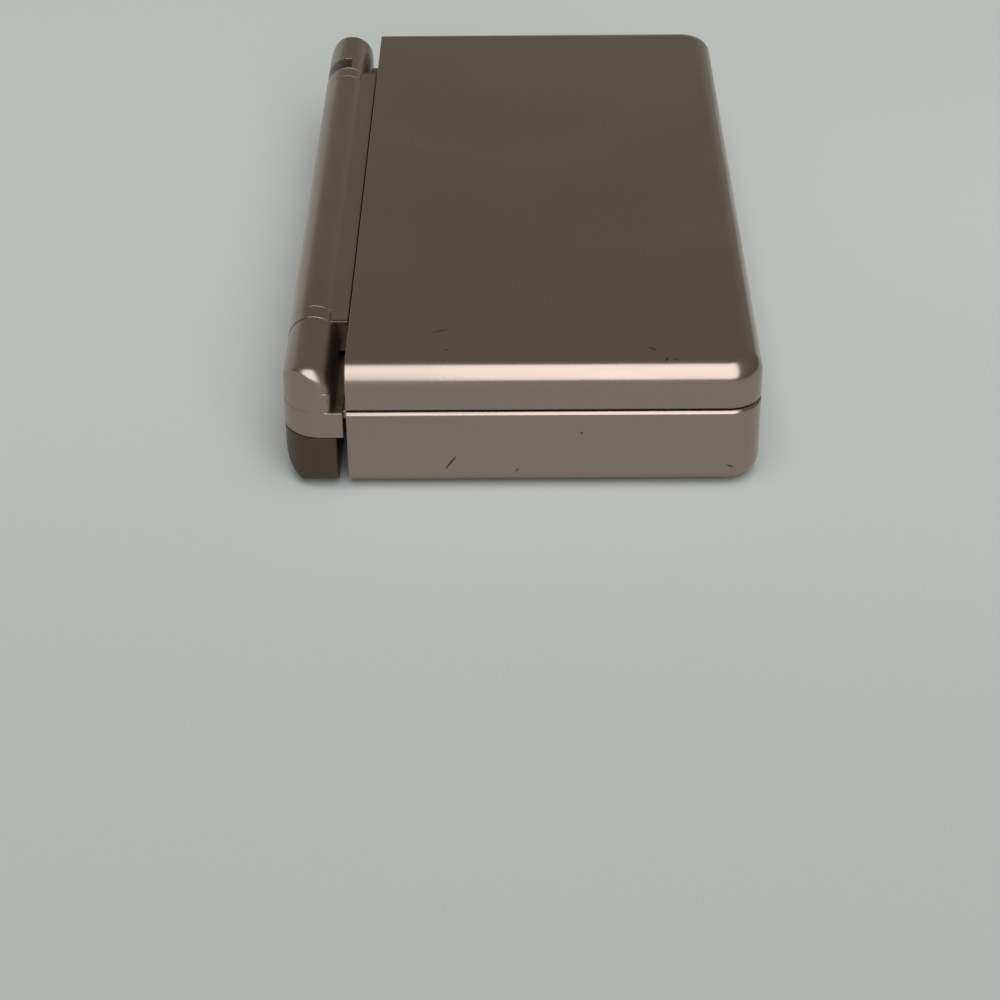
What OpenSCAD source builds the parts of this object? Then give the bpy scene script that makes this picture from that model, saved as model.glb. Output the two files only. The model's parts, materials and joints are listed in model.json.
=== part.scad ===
// Clamshell handheld game console, closed: a base with the controls and the
// lower screen, a lid with the upper screen, and a hinge barrel along the back.
// +X runs along the hinge to the player's right, +Y points to the hinge, +Z is up.
// The origin is at the centre of the footprint, on the surface it stands on.

/* [Overall] */
// Width of the control area on each side of the screens
side_w = 35.25; // [34:0.25:40]
// Distance of the lower screen's visible area from the front edge
front_margin = 6.95; // [6:0.05:9]
// Width that stays free between the stylus and the hinge strip
back_margin = 1.8; // [1.6:0.1:3]
// Thickness of the lid
lid_t = 7.2; // [6.8:0.1:9]
// Open seam between base and lid
seam_gap = 0.6; // [0.3:0.05:0.7]
// Corner radius of both shells in plan
corner_r = 5.5; // [4:0.1:7]
// Radius round the base's lower rim
base_edge_r = 3; // [1.5:0.1:3.4]
// Radius round the lid's upper rim
lid_edge_r = 3.3; // [1.5:0.1:3.6]
// Wall of the base shell
wall = 1.5; // [1.2:0.05:1.7]
// Wall of the lid cover
lid_wall = 1.4; // [1.1:0.05:1.6]
// Depth of the player's side of the base below the seam
deck_drop = 0.4; // [0.3:0.05:0.6]
// Thickness of the deck plate
deck_t = 1.3; // [1.2:0.05:1.5]
// Height of the bezel above the lid's rim
bezel_rise = 0.6; // [0.5:0.05:0.9]
// Thickness of the bezel plate
bezel_t = 1.5; // [1.3:0.05:1.7]
// Radius of a rubber foot
foot_r = 3; // [2:0.1:3.6]
// Height that a foot stands below the shell
foot_h = 0.5; // [0.3:0.05:0.8]

/* [Hinge] */
// Radius of the hinge barrel
barrel_r = 4.1; // [3.9:0.05:4.3]
// Height of the hinge axis above the base's rim
axis_rise = 3.3; // [3:0.05:3.4]
// Length of each fixed knuckle
knuckle_l = 17.1; // [14:0.1:20]
// Length of the collar at each end of the barrel
collar_l = 3.6; // [3:0.1:8]
// Running gap between knuckle and collar
joint_gap = 0.25; // [0.15:0.05:0.5]
// Radius of the hinge pin
pin_r = 2.2; // [1.8:0.05:2.3]
// Radial clearance of the hinge pin
pin_clear = 0.05; // [0.03:0.01:0.1]
// Depth of the pin's bore in a knuckle
pin_reach = 9; // [6:0.5:10]
// Bore of the barrel
barrel_bore_r = 2.8; // [2.6:0.05:3]
// Gap between barrel and the channel under it
channel_gap = 0.5; // [0.3:0.05:0.7]
// Distance from the back of the barrel to the lid cover's rear edge
cover_back = 9.95; // [9.6:0.05:10.4]
// Gap between cover and neck
neck_gap = 0.4; // [0.3:0.05:0.6]
// Height of the neck's top below the top of the lid
neck_drop = 1.3; // [0.8:0.1:1.8]

/* [Screens] */
// Width of each screen's visible area
screen_w = 62.5; // [58:0.5:63]
// Depth of each screen's visible area
screen_d = 47; // [43:0.5:48]
// Margin of each display module round its visible area
module_margin = 2.2; // [1.5:0.1:2.4]
// Thickness of a display module
module_t = 1.95; // [1.5:0.05:2]
// Margin of the clear window round the upper screen
window_margin = 5; // [3:0.1:6]
// Thickness of the window and of the touch panel
glass_t = 0.8; // [0.6:0.05:0.9]

/* [Controls] */
// Distance of the thumb controls' centres from the ends
pad_in = 16.5; // [15:0.5:18]
// Distance of the thumb controls' centres from the front edge
pad_y = 40; // [38:0.5:42]
// Radius of a face button
button_r = 3.6; // [3:0.1:3.8]
// Distance of a face button from the group's centre
button_pitch = 8.4; // [7.6:0.1:8.8]
// Height of a face button above the deck
button_rise = 0.9; // [0.6:0.05:1]
// Running gap round the buttons
button_clear = 0.1; // [0.08:0.01:0.2]
// Travel of a button
button_travel = 0.8; // [0.5:0.05:0.8]
// Span of the direction pad
dpad_span = 18; // [15:0.5:19]
// Width of an arm of the direction pad
dpad_arm = 5.8; // [5:0.1:6.4]
// Height of the direction pad above the deck
dpad_rise = 0.7; // [0.4:0.05:0.8]
// Gap round the direction pad, wide enough for its tilt
dpad_clear = 0.3; // [0.25:0.05:0.5]
// Radius of the two small buttons
small_r = 2; // [1.6:0.1:2.4]
// Distance of the nearer small button from the front edge
small_front = 6.3; // [5.5:0.1:8]
// Distance between the two small buttons
small_pitch = 7.5; // [6.5:0.5:9]
// Height of a small button above the deck
small_rise = 0.5; // [0.3:0.05:0.8]
// Length of a shoulder button along the back
shoulder_l = 20.6; // [19:0.1:23]
// Slit between a shoulder button and the shell's side wall
shoulder_slit = 1.6; // [1.1:0.05:1.8]
// Plan radius of the rear corners: shell, knuckles and shoulder buttons
shoulder_r = 6.2; // [4:0.1:6.6]
// Radius of a shoulder button's pivot pin
pivot_r = 0.8; // [0.6:0.05:1]
// Length of the stylus
stylus_l = 87.5; // [80:0.5:90]
// Radius of the stylus
stylus_r = 2.3; // [2:0.05:2.35]
// Gap round the stylus
stylus_clear = 0.1; // [0.05:0.01:0.12]
// Travel of the volume slider
volume_travel = 5; // [3:0.1:6]
// Travel of the power switch
power_travel = 2; // [1.2:0.1:2.4]

/* [Slots] */
// Width of the cartridge slot at the front
cart_w = 58.6; // [56:0.2:60]
// Height of the cartridge slot
cart_h = 7.1; // [6.4:0.1:7.2]
// Depth of the cartridge slot
cart_d = 27; // [24:0.5:28]
// Running gap round the slot cover
cart_clear = 0.15; // [0.1:0.05:0.3]
// Width of the game card slot at the back
card_w = 34.4; // [33.6:0.2:36]
// Height of the game card slot
card_h = 4.4; // [4.2:0.05:4.4]
// Depth of the game card slot
card_d = 33; // [30:0.5:34]
// Width of the charging socket
charge_w = 9; // [8:0.1:10]
// Height of the charging socket
charge_h = 4.4; // [4.2:0.1:5]
// Radius of the headphone socket's bore
jack_r = 1.8; // [1.75:0.01:1.85]
// Depth of the headphone socket
jack_l = 14; // [12:0.5:15]
// Length of the battery along the hinge
battery_w = 37; // [32:0.5:37]
// Depth of the battery
battery_d = 24; // [20:0.5:25]
// Thickness of the battery
battery_t = 5.3; // [4:0.1:5.6]

/* [Hidden] */
$fn = 64;
eps = 0.01;
// seams between parts that are screwed or clipped together
fit_gap = 0.1;
part_gap = 0.05;

// gap kept between pieces that pass each other inside
inner_gap = 0.1;
// height of a slot's sill above the floor
sill = 0.3;
guide_t = 0.5;
sheet_metal = 0.3;
silo_wall = 0.5;
bay_wall = 0.8;
board_t = 0.8;
// room under the deck for flange, contact stem and membrane
key_room = 2.8;
// the battery's end play, and the tab that carries its cover's screw
battery_play = 2.4;
tab_d = 4.4;
tab_w = 5;

// the shell is as high as the tallest of the three stacks inside it
slot_stack = sill + cart_h + guide_t + inner_gap + module_t + part_gap;
card_stack = sill + card_h + sheet_metal + inner_gap + 2 * (stylus_r + stylus_clear) + part_gap;
battery_stack = inner_gap + battery_t + board_t + key_room + 0.5;
base_h = wall + max(slot_stack, card_stack, battery_stack) + deck_t + deck_drop;
// and as deep as the screen with the stylus, or the slots with the battery
screen_chain = front_margin + screen_d + module_margin + 0.4 + 2 * (stylus_r + silo_wall) + back_margin;
slot_chain = wall + inner_gap + cart_d + 0.15 + 2 * bay_wall + battery_d + battery_play + tab_d + 1.3;
lid_d = max(screen_chain, slot_chain);
body_w = screen_w + 2 * side_w;
body_d = lid_d + cover_back;

half_w = body_w / 2;
front_y = -body_d / 2;
rear_y = body_d / 2;
base_top = foot_h + base_h;
lid_bottom = base_top + seam_gap;
// bevel on the rim of the base, under the seam
rim_chamfer = 0.4;
lid_top = lid_bottom + lid_t;
floor_z = foot_h + wall;
deck_z = base_top - deck_drop;
deck_under = deck_z - deck_t;
bezel_z = lid_bottom + bezel_rise;
bezel_back = bezel_z + bezel_t;
lid_ceiling = lid_top - lid_wall;

hinge_y = rear_y - barrel_r;
hinge_z = base_top + axis_rise;
knuckle_r = barrel_r - 0.05;
knuckle_end = 2.2;
knuckle_rear_r = shoulder_r;
knuckle_front_r = 2 * knuckle_r - knuckle_rear_r;
joint_x = half_w - knuckle_l;
barrel_end = joint_x - joint_gap;
collar_x = barrel_end - collar_l;
cover_y = rear_y - cover_back;
// narrow bore at each end of the barrel, the clutch's length, the pin's end play and wall
end_bore = 5;
clutch_l = 18;
pin_play = 0.3;
pin_wall = 0.8;
neck_y = cover_y + neck_gap;
neck_top = lid_top - neck_drop;
// the skirt under the knuckles meets the base's end wall here
skirt_y = cover_y + 0.5;
skirt_z = foot_h + 8.9;
skirt_r = shoulder_r;

screen_y1 = front_y + front_margin + screen_d / 2;
screen_y2 = front_y + lid_d / 2;
module_w = screen_w + 2 * module_margin;
module_d = screen_d + 2 * module_margin;
opening_margin = 0.4;
panel_margin = 1.4;
panel_top = deck_z - 0.5;
panel_under = panel_top - glass_t;
display_under = min(panel_under, deck_under) - part_gap - module_t;

// the button stack hangs from the deck
flange_top = deck_under - part_gap;
flange_t = 0.8;
flange_w = 0.5;
board_top = deck_under - key_room;
board_under = board_top - board_t;
board_in = 4;
board_front = 4.4;
board_back = screen_y1 + module_d / 2 + inner_gap;
sheet_t = 0.5;
ring_top = flange_top - flange_t - button_travel - 0.15;
pad_x = half_w - pad_in;
pad_cy = front_y + pad_y;
small_x = pad_x - 6;
small_y = front_y + small_front + small_pitch;
dpad_pivot_z = board_top + 0.1;
dpad_flange_top = deck_under - 0.8;
dpad_flange_t = 0.5;
dpad_flange_r = dpad_span / 2 + 0.2;
rubber_r = 7.6;
rubber_z = dpad_pivot_z + 0.45;
rubber_t = 0.4;

// shoulder buttons
bay_y = cover_y;
bay_x = half_w - shoulder_l - 0.6;
shoulder_front = bay_y + shoulder_slit;
shoulder_z0 = foot_h + 0.3;
shoulder_rim = base_edge_r - 0.3;
shoulder_z1 = skirt_z - 0.2;
pivot_x = half_w - shoulder_l + 1.8;
pivot_y = rear_y - 5.4;
lug_x = pivot_x + 2.6;

// stylus
stylus_y = cover_y - back_margin - silo_wall - stylus_r;
stylus_z = deck_under - stylus_r - stylus_clear - 0.05;

// slots
cart_z0 = floor_z + sill;
guide_back = front_y + wall + inner_gap + cart_d;
contacts_w = 52;
contacts_d = 3;
contacts_h = 4.2;
contact_pitch = 1.6;
card_z0 = floor_z + sill;
card_back = rear_y - wall - 0.3;
charge_x = card_w / 2 + 13;
charge_z0 = floor_z + 1.1;
charge_l = 6.2;
socket_wall = 0.8;
strap_x = card_w / 2 + 14.8;
strap_w = 6;
strap_d = 4;
strap_h = 3.8;
strap_z = floor_z + 1.2;
jack_x = half_w - 21.5;
jack_z = floor_z + 4.1;
jack_collar_r = 2.7;

// battery and its cover
bay_top = board_under - 0.6;
cover_x1 = -card_w / 2 - sheet_metal - bay_wall - 0.2;
cover_x0 = cover_x1 - battery_w - battery_play;
cover_y0 = guide_back + bay_wall + 0.15;
cover_y1 = cover_y0 + battery_d + battery_play;
battery_x = (cover_x0 + cover_x1) / 2;
battery_y = (cover_y0 + cover_y1) / 2;
cover_screw = [battery_x, cover_y1 + tab_d / 2];
nut_post_top = floor_z + 4.2;

// fasteners: shank and head of the small screws
screw_r = 0.9;
head_r = 1.6;
head_h = 0.8;
boss_r = 2.2;
screw_inset = 5.5;
case_screw_at = [[half_w - screw_inset, front_y + screw_inset],
    [-half_w + screw_inset, front_y + screw_inset],
    [half_w - 4.7, cover_y - 12.6], [-half_w + 4.7, cover_y - 4.6],
    [(charge_x + charge_w / 2 + socket_wall + bay_x - 1) / 2, rear_y - 6],
    [-(strap_x + strap_w / 2 + 1.2 + bay_x - 1) / 2, rear_y - 6]];
case_head_z = foot_h + 1.1;
case_shank = 6;
case_seat_z = case_head_z + head_h;
post_top = case_seat_z + 1.6;
lid_screw_in = 8.5;
lid_screw_at = [for (x = [-1, 1], y = [front_y + 9, cover_y - 9]) [x * (half_w - lid_screw_in), y]];
bumper_r = 3;
bumper_t = 0.8;
lid_seat_z = bezel_z + bumper_t + head_h + 0.1;
lid_shank = lid_ceiling - lid_seat_z - 0.1;
seat_rise = 1.6;
foot_at = [[half_w - 14, front_y + 7], [-half_w + 14, front_y + 7], [half_w - 14, cover_y - 2.5],
    [-half_w + 14, cover_y - 2.5]];
foot_sink = 0.4;

// sliders in the walls
volume_x = -half_w + 19.5;
volume_z = floor_z + 4;
knob_w = 4.5;
knob_h = 1.8;
power_y = 3;
power_z = floor_z + 4.6;

scoop_r = 12;
scoop_d = 0.7;

// lamp window on the right knuckle
led_l = 4;
led_in = 0.45;
led_t = 0.6;
led_from = -8;
led_to = 100;

// speakers and microphone
speaker_x = half_w - 16.5;
speaker_r = 7.5;
speaker_t = 2.4;
mic_r = 2;
mic_t = 1.2;
mic_y = neck_y + 0.2;

// parts on the main board
processor = [14, 14, 1.2];
memory = [10, 4, 1];
radio = [22, 18, 1.1];
radio_can = [14, 14, 1.5];
radio_at = [half_w - 42.5, front_y + 33];

shell_color = [0.47, 0.41, 0.38];
inner_color = [0.50, 0.44, 0.41];

// ---- shapes that repeat ----

// plan rectangle between two corners, with its own radius at front and back
module plan(x, y0, y1, rf, rb) {
    difference() {
        translate([-x, y0]) square([2 * x, y1 - y0]);
        for (s = [-1, 1]) {
            corner_cut(s * x, y0, s, -1, rf);
            corner_cut(s * x, y1, s, 1, rb);
        }
    }
}

// what a rounded plan corner takes away
module corner_cut(x, y, sx, sy, r) {
    difference() {
        translate([x - (sx > 0 ? r : 1), y - (sy > 0 ? r : 1)]) square(r + 1);
        translate([x - sx * r, y - sy * r]) circle(r = r);
    }
}

// a disc with a rounded lower rim and a chamfered upper one, one corner of a shell
module puck(r, h, e, c) {
    rotate_extrude($fn = 64) {
        square([r - e, h]);
        translate([0, e]) square([r, h - e - c]);
        polygon([[0, h - c - eps], [r, h - c - eps], [r, h - c], [r - c, h], [0, h]]);
        intersection() {
            translate([r - e, e]) circle(r = e, $fn = 64);
            square([r, h]);
        }
    }
}

// shell body with a rounded lower rim
module shell_body(x, y0, y1, h, rf, rb, e, c = 0) {
    hull() for (s = [-1, 1]) {
        translate([s * (x - rf), y0 + rf, 0]) puck(rf, h, e, c);
        translate([s * (x - rb), y1 - rb, 0]) puck(rb, h, e, c);
    }
}

// cylinder along X between two stations
module rod_x(x0, x1, y, z, r) {
    translate([x0, y, z]) rotate([0, 90, 0]) cylinder(h = x1 - x0, r = r);
}

// cylinder along Y between two stations
module rod_y(x, y0, y1, z, r) {
    translate([x, y1, z]) rotate([90, 0, 0]) cylinder(h = y1 - y0, r = r);
}

// block between two corners
module block(a, b) {
    translate(a) cube(b - a);
}

// plate cut from a plan rectangle round a centre
module plate(w, d, z0, z1, y, r = 0.6) {
    translate([0, y, z0]) linear_extrude(z1 - z0) plan(w / 2, -d / 2, d / 2, r, r);
}

// cross of the direction pad, in plan
module cross(span, arm, r) {
    for (a = [0, 90]) rotate(a) plan(span / 2, -arm / 2, arm / 2, r, r);
}

// screw with its head down at z, its shank up
module screw(z, l, r, hr, hh) {
    difference() {
        union() {
            translate([0, 0, z]) cylinder(h = hh, r = hr);
            translate([0, 0, z + hh]) cylinder(h = l, r = r);
        }
        for (a = [0, 90]) rotate(a) translate([0, 0, z]) cube([hr * 1.1, 0.4, hh], center = true);
    }
}

// ---- base ----

module bottom_case() {
    color(shell_color) difference() {
        union() {
            difference() {
                translate([0, 0, foot_h]) shell_body(half_w, front_y, rear_y, base_h, corner_r,
                    skirt_r, base_edge_r, rim_chamfer);
                // inside of the tub
                translate([0, 0, floor_z]) linear_extrude(base_h)
                    plan(half_w - wall, front_y + wall, rear_y - wall, corner_r - wall, 1);
                // step for the skirt and the knuckles
                block([-half_w - 1, skirt_y - fit_gap, skirt_z - fit_gap],
                    [half_w + 1, rear_y + 1, base_top + 1]);
                // battery opening
                linear_extrude(floor_z + 1) cover_plan(fit_gap);
            }
            // battery bay and the nut post of its cover
            difference() {
                union() {
                    block([cover_x0 - bay_wall, cover_y0 - bay_wall, floor_z - eps],
                        [cover_x1 + bay_wall, cover_y1 + bay_wall, bay_top]);
                    translate([0, 0, floor_z + part_gap]) linear_extrude(nut_post_top - floor_z - part_gap)
                        tab_plan(bay_wall);
                    translate([0, 0, floor_z - eps]) linear_extrude(0.5) difference() {
                        tab_plan(bay_wall);
                        tab_plan(fit_gap);
                    }
                }
                block([cover_x0 - fit_gap, cover_y0 - fit_gap, 0],
                    [cover_x1 + fit_gap, cover_y1 + fit_gap, bay_top + 1]);
                translate([cover_screw[0], cover_screw[1], 0])
                    cylinder(h = nut_post_top - 0.4, r = screw_r + part_gap);
            }
            // screw posts in the floor
            for (p = case_screw_at) translate([p[0], p[1], foot_h + 0.5])
                cylinder(h = post_top - foot_h - 0.5, r = head_r + 0.9);
            // walls of the shoulder bays
            for (s = [-1, 1]) mirror([s < 0 ? 1 : 0, 0, 0]) {
                block([bay_x - 1, bay_y - 1, floor_z - eps],
                    [bay_x, rear_y - 1, skirt_z - fit_gap]);
                block([bay_x - 1, bay_y - 1, floor_z - eps],
                    [half_w - 1, bay_y, skirt_z - fit_gap]);
            }
            // pocket of the strap post
            block([-strap_x - strap_w / 2 - 1.2, rear_y - strap_d - 1.2, floor_z - eps],
                [-strap_x + strap_w / 2 + 1.2, rear_y - 1, strap_z + strap_h + 1.2]);
        }
        // shoulder bays, open below, their wall leaning a little
        for (s = [-1, 1]) mirror([s < 0 ? 1 : 0, 0, 0]) {
            translate([half_w + 1, 0, 0]) rotate([90, 0, -90]) linear_extrude(half_w + 1 - lug_x)
                polygon([[-bay_y + 0.2, 0], [-bay_y - 0.4, base_top], [-rear_y - 1, base_top],
                    [-rear_y - 1, 0]]);
            block([bay_x, bay_y, floor_z + part_gap], [half_w + 1, rear_y + 1, base_top]);
            translate([pivot_x, pivot_y, foot_h + 0.4]) cylinder(h = 9, r = pivot_r + part_gap);
        }
        // cartridge slot, card slot and charging socket
        block([-cart_w / 2, front_y - 1, cart_z0], [cart_w / 2, front_y + wall + 1, cart_z0 + cart_h]);
        block([-card_w / 2, rear_y - wall - 1, card_z0], [card_w / 2, rear_y + 1, card_z0 + card_h]);
        block([charge_x - charge_w / 2, rear_y - wall - 1, charge_z0],
            [charge_x + charge_w / 2, rear_y + 1, charge_z0 + charge_h]);
        // strap recess, with its post left standing
        difference() {
            block([-strap_x - strap_w / 2, rear_y - strap_d, strap_z],
                [-strap_x + strap_w / 2, rear_y + 1, strap_z + strap_h]);
            translate([-strap_x, rear_y - 1.1, strap_z - 1]) cylinder(h = strap_h + 2, r = 0.8);
        }
        // headphone socket
        rod_y(jack_x, front_y - 1, front_y + wall + 1, jack_z, jack_collar_r + part_gap);
        // slots of the volume slider and the power switch, each in a finger scoop
        translate([volume_x + volume_travel / 2, front_y - scoop_r + scoop_d, volume_z]) sphere(r = scoop_r);
        translate([half_w + scoop_r - scoop_d, power_y + power_travel / 2, power_z]) sphere(r = scoop_r);
        block([volume_x - knob_w / 2 - 0.2, front_y - 1, volume_z - knob_h / 2 - 0.1],
            [volume_x + volume_travel + knob_w / 2 + 0.2, front_y + 3, volume_z + knob_h / 2 + 0.1]);
        block([half_w - 3, power_y - knob_w / 2 - 0.2, power_z - knob_h / 2 - 0.1],
            [half_w + 1, power_y + power_travel + knob_w / 2 + 0.2, power_z + knob_h / 2 + 0.1]);
        // stylus hole
        rod_x(half_w - wall - 1, half_w + 1, stylus_y, stylus_z, stylus_r + stylus_clear);
        // case screws and feet
        for (p = case_screw_at) translate([p[0], p[1], 0]) {
            cylinder(h = case_seat_z + part_gap, r = head_r + 0.2);
            cylinder(h = post_top + 1, r = screw_r + 0.1);
        }
        for (p = foot_at) translate([p[0], p[1], foot_h - eps]) cylinder(h = foot_sink, r = foot_r + 0.1);
    }
}

// outline of the battery cover, grown by g: a rectangle and the tab of its screw
module cover_plan(g) {
    translate([cover_x0 - g, cover_y0 - g]) square([cover_x1 - cover_x0 + 2 * g, cover_y1 - cover_y0 + 2 * g]);
    tab_plan(g);
}

module tab_plan(g) {
    translate([cover_screw[0] - tab_w / 2 - g, cover_y1 - 1]) square([tab_w + 2 * g, tab_d + 1 + g]);
}

module top_case() {
    color(inner_color) difference() {
        union() {
            // deck
            translate([0, 0, deck_under]) linear_extrude(deck_t)
                plan(half_w - wall - fit_gap, front_y + wall + fit_gap, skirt_y + 0.5,
                    corner_r - wall, 0.5);
            // skirt along the back, under the barrel and the knuckles
            translate([0, 0, skirt_z]) linear_extrude(base_top - skirt_z) difference() {
                plan(half_w, skirt_y, rear_y, 0.3, skirt_r);
            }
            // knuckles with rounded ends, running down into the skirt
            for (s = [-1, 1]) mirror([s < 0 ? 1 : 0, 0, 0]) intersection() {
                union() {
                    rod_x(joint_x, half_w - knuckle_end, hinge_y, hinge_z, knuckle_r);
                    translate([half_w - knuckle_end, hinge_y, hinge_z]) rotate([0, 90, 0]) rotate_extrude() {
                        square([knuckle_r - knuckle_end, knuckle_end]);
                        translate([knuckle_r - knuckle_end, 0]) intersection() {
                            circle(r = knuckle_end);
                            square(knuckle_end);
                        }
                    }
                    block([joint_x, hinge_y - knuckle_r, deck_z], [half_w, hinge_y + knuckle_r, hinge_z]);
                }
                translate([0, hinge_y, deck_z - 1]) linear_extrude(lid_top) difference() {
                    translate([joint_x, -knuckle_r]) square([knuckle_l, 2 * knuckle_r]);
                    corner_cut(half_w, knuckle_r, 1, 1, knuckle_rear_r);
                    corner_cut(half_w, -knuckle_r, 1, -1, knuckle_front_r);
                }
            }
            // stylus silo
            block([half_w - stylus_l - 1.2, stylus_y - stylus_r - silo_wall, stylus_z - 1.65],
                [half_w - wall - fit_gap, stylus_y + stylus_r + silo_wall, deck_under + eps]);
            // screw bosses under the deck
            for (p = case_screw_at) translate([p[0], p[1], post_top + part_gap])
                cylinder(h = (p[1] > skirt_y ? skirt_z : deck_under) - post_top, r = boss_r);
        }
        // channel for the barrel
        rod_x(-joint_x, joint_x, hinge_y, hinge_z, barrel_r + channel_gap);
        // pin bores
        for (s = [-1, 1]) mirror([s < 0 ? 1 : 0, 0, 0])
            rod_x(joint_x - 1, joint_x + pin_reach, hinge_y, hinge_z, pin_r + pin_clear);
        // seat of the lamp window
        led_ring(led_t + 0.05, 0.1, 1);
        // stylus
        rod_x(half_w - stylus_l - 0.2, half_w + 1, stylus_y, stylus_z, stylus_r + stylus_clear);
        // lower screen: opening, and the rebate of the touch panel
        plate(screen_w + 2 * opening_margin, screen_d + 2 * opening_margin, deck_under - 1,
            deck_z + 1, screen_y1);
        plate(screen_w + 2 * panel_margin + 0.2, screen_d + 2 * panel_margin + 0.2,
            deck_under - 1, panel_top + part_gap, screen_y1);
        // direction pad
        translate([-pad_x, pad_cy, deck_under - 1]) linear_extrude(deck_t + 2)
            cross(dpad_span + 2 * dpad_clear, dpad_arm + 2 * dpad_clear, 1);
        // buttons
        for (a = [0:90:270]) translate([pad_x, pad_cy, deck_under - 1]) rotate(a)
            translate([button_pitch, 0, 0]) cylinder(h = deck_t + 2, r = button_r + button_clear);
        for (k = [0, 1]) translate([small_x, small_y - k * small_pitch, deck_under - 1])
            cylinder(h = deck_t + 2, r = small_r + button_clear);
        // screws and shoulder pins
        for (p = case_screw_at) translate([p[0], p[1], post_top]) cylinder(h = case_shank - 0.6, r = screw_r + part_gap);
        for (s = [-1, 1]) translate([s * pivot_x, pivot_y, skirt_z - 1])
            cylinder(h = 2.4, r = pivot_r + part_gap);
    }
}

// ring sector about the hinge axis, the form of the lamp window
module led_ring(t, side, out) {
    translate([joint_x + led_in - side, hinge_y, hinge_z]) rotate([90, 0, 90]) rotate([0, 0, led_from])
        rotate_extrude(angle = led_to - led_from) translate([knuckle_r - t, 0])
            square([t + out, led_l + 2 * side]);
}

module led_window() {
    color([0.08, 0.06, 0.06]) led_ring(led_t, 0, 0);
}

module battery_cover() {
    color(shell_color) difference() {
        union() {
            translate([0, 0, foot_h]) linear_extrude(wall - part_gap) cover_plan(0);
        }
        translate([cover_screw[0], cover_screw[1], 0]) {
            cylinder(h = foot_h + head_h + 0.1, r = head_r + 0.1);
            cylinder(h = 9, r = screw_r + 0.1);
        }
    }
}

module battery_cover_screw() {
    color("silver") translate([cover_screw[0], cover_screw[1], 0])
        screw(foot_h + 0.05, nut_post_top - foot_h - head_h - 0.5, screw_r, head_r, head_h);
}

module battery_pack() {
    color([0.16, 0.16, 0.17]) difference() {
        translate([battery_x, battery_y, floor_z + 0.1]) linear_extrude(battery_t)
            plan(battery_w / 2, -battery_d / 2, battery_d / 2, 2, 2);
        // contact pads
        for (k = [-1:1]) translate([battery_x + battery_w / 2, battery_y + 4 * k, floor_z + 2.5])
            cube([0.8, 2.4, 2], center = true);
    }
}

module case_screws() {
    color("silver") for (p = case_screw_at) translate([p[0], p[1], 0])
        screw(case_head_z, case_shank, screw_r, head_r, head_h);
}

module rubber_feet() {
    color([0.12, 0.11, 0.11]) for (p = foot_at) translate([p[0], p[1], 0])
        rotate_extrude() polygon([[0, 0], [foot_r - 0.4, 0], [foot_r, 0.3],
            [foot_r, foot_h + foot_sink - part_gap], [0, foot_h + foot_sink - part_gap]]);
}

module main_board() {
    color([0.10, 0.32, 0.20]) difference() {
        union() {
            translate([0, 0, board_under]) linear_extrude(board_t)
                plan(half_w - board_in, front_y + board_front, board_back, 3, 1);
            // processor, memory and shield can on the underside
            translate([-processor[0], guide_back + 4.4, board_under - processor[2]])
                cube(processor + [0, 0, eps]);
            translate([3, guide_back + 5.4, board_under - memory[2]]) cube(memory + [0, 0, eps]);
        }
        block([-cart_w / 2 - 1.2, front_y, 0], [cart_w / 2 + 1.2, guide_back + 0.6, base_top]);
        for (p = case_screw_at) translate([p[0], p[1], 0]) cylinder(h = base_top, r = boss_r + 0.4);
        block([half_w - 4.6, power_y - 5, 0], [half_w, power_y + power_travel + 5, base_top]);
    }
}

module wireless_module() {
    color([0.15, 0.25, 0.45]) {
        translate([radio_at[0], radio_at[1], board_under - radio[2]]) cube(radio);
        translate([radio_at[0] + 2, radio_at[1] + 2, board_under - radio[2] - radio_can[2]])
            cube(radio_can + [0, 0, eps]);
    }
}

module lower_display() {
    color([0.2, 0.2, 0.22]) plate(module_w, module_d, display_under, display_under + module_t, screen_y1);
}

module touch_panel() {
    color([0.05, 0.05, 0.06]) plate(screen_w + 2 * panel_margin, screen_d + 2 * panel_margin,
        panel_under, panel_top, screen_y1);
}

module cartridge_guide() {
    color([0.2, 0.2, 0.2]) difference() {
        block([-cart_w / 2 - guide_t, front_y + wall + 0.1, floor_z],
            [cart_w / 2 + guide_t, guide_back, cart_z0 + cart_h + guide_t]);
        block([-cart_w / 2, front_y, cart_z0 - 0.1],
            [cart_w / 2, guide_back - 0.6, cart_z0 + cart_h]);
    }
}

module cartridge_contacts() {
    color([0.3, 0.3, 0.3]) difference() {
        translate([-contacts_w / 2, guide_back - 0.6 - eps - contacts_d, cart_z0])
            cube([contacts_w, contacts_d, contacts_h]);
        for (k = [-15:15]) translate([contact_pitch * k, guide_back - 0.6 - contacts_d, cart_z0 + contacts_h / 2])
            cube([contact_pitch / 2, 1.2, contacts_h / 2], center = true);
    }
}

module card_socket() {
    color("silver") difference() {
        block([-card_w / 2 - sheet_metal, card_back - card_d, floor_z],
            [card_w / 2 + sheet_metal, card_back, card_z0 + card_h + sheet_metal]);
        block([-card_w / 2, card_back - card_d + 0.6, card_z0],
            [card_w / 2, rear_y, card_z0 + card_h]);
    }
}

module charging_port() {
    color([0.1, 0.1, 0.1]) difference() {
        block([charge_x - charge_w / 2 - socket_wall, rear_y - wall - charge_l, floor_z],
            [charge_x + charge_w / 2 + socket_wall, rear_y - wall - 0.1, charge_z0 + charge_h + socket_wall]);
        block([charge_x - charge_w / 2, rear_y - wall - charge_l + 1, charge_z0],
            [charge_x + charge_w / 2, rear_y, charge_z0 + charge_h]);
    }
}

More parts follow.
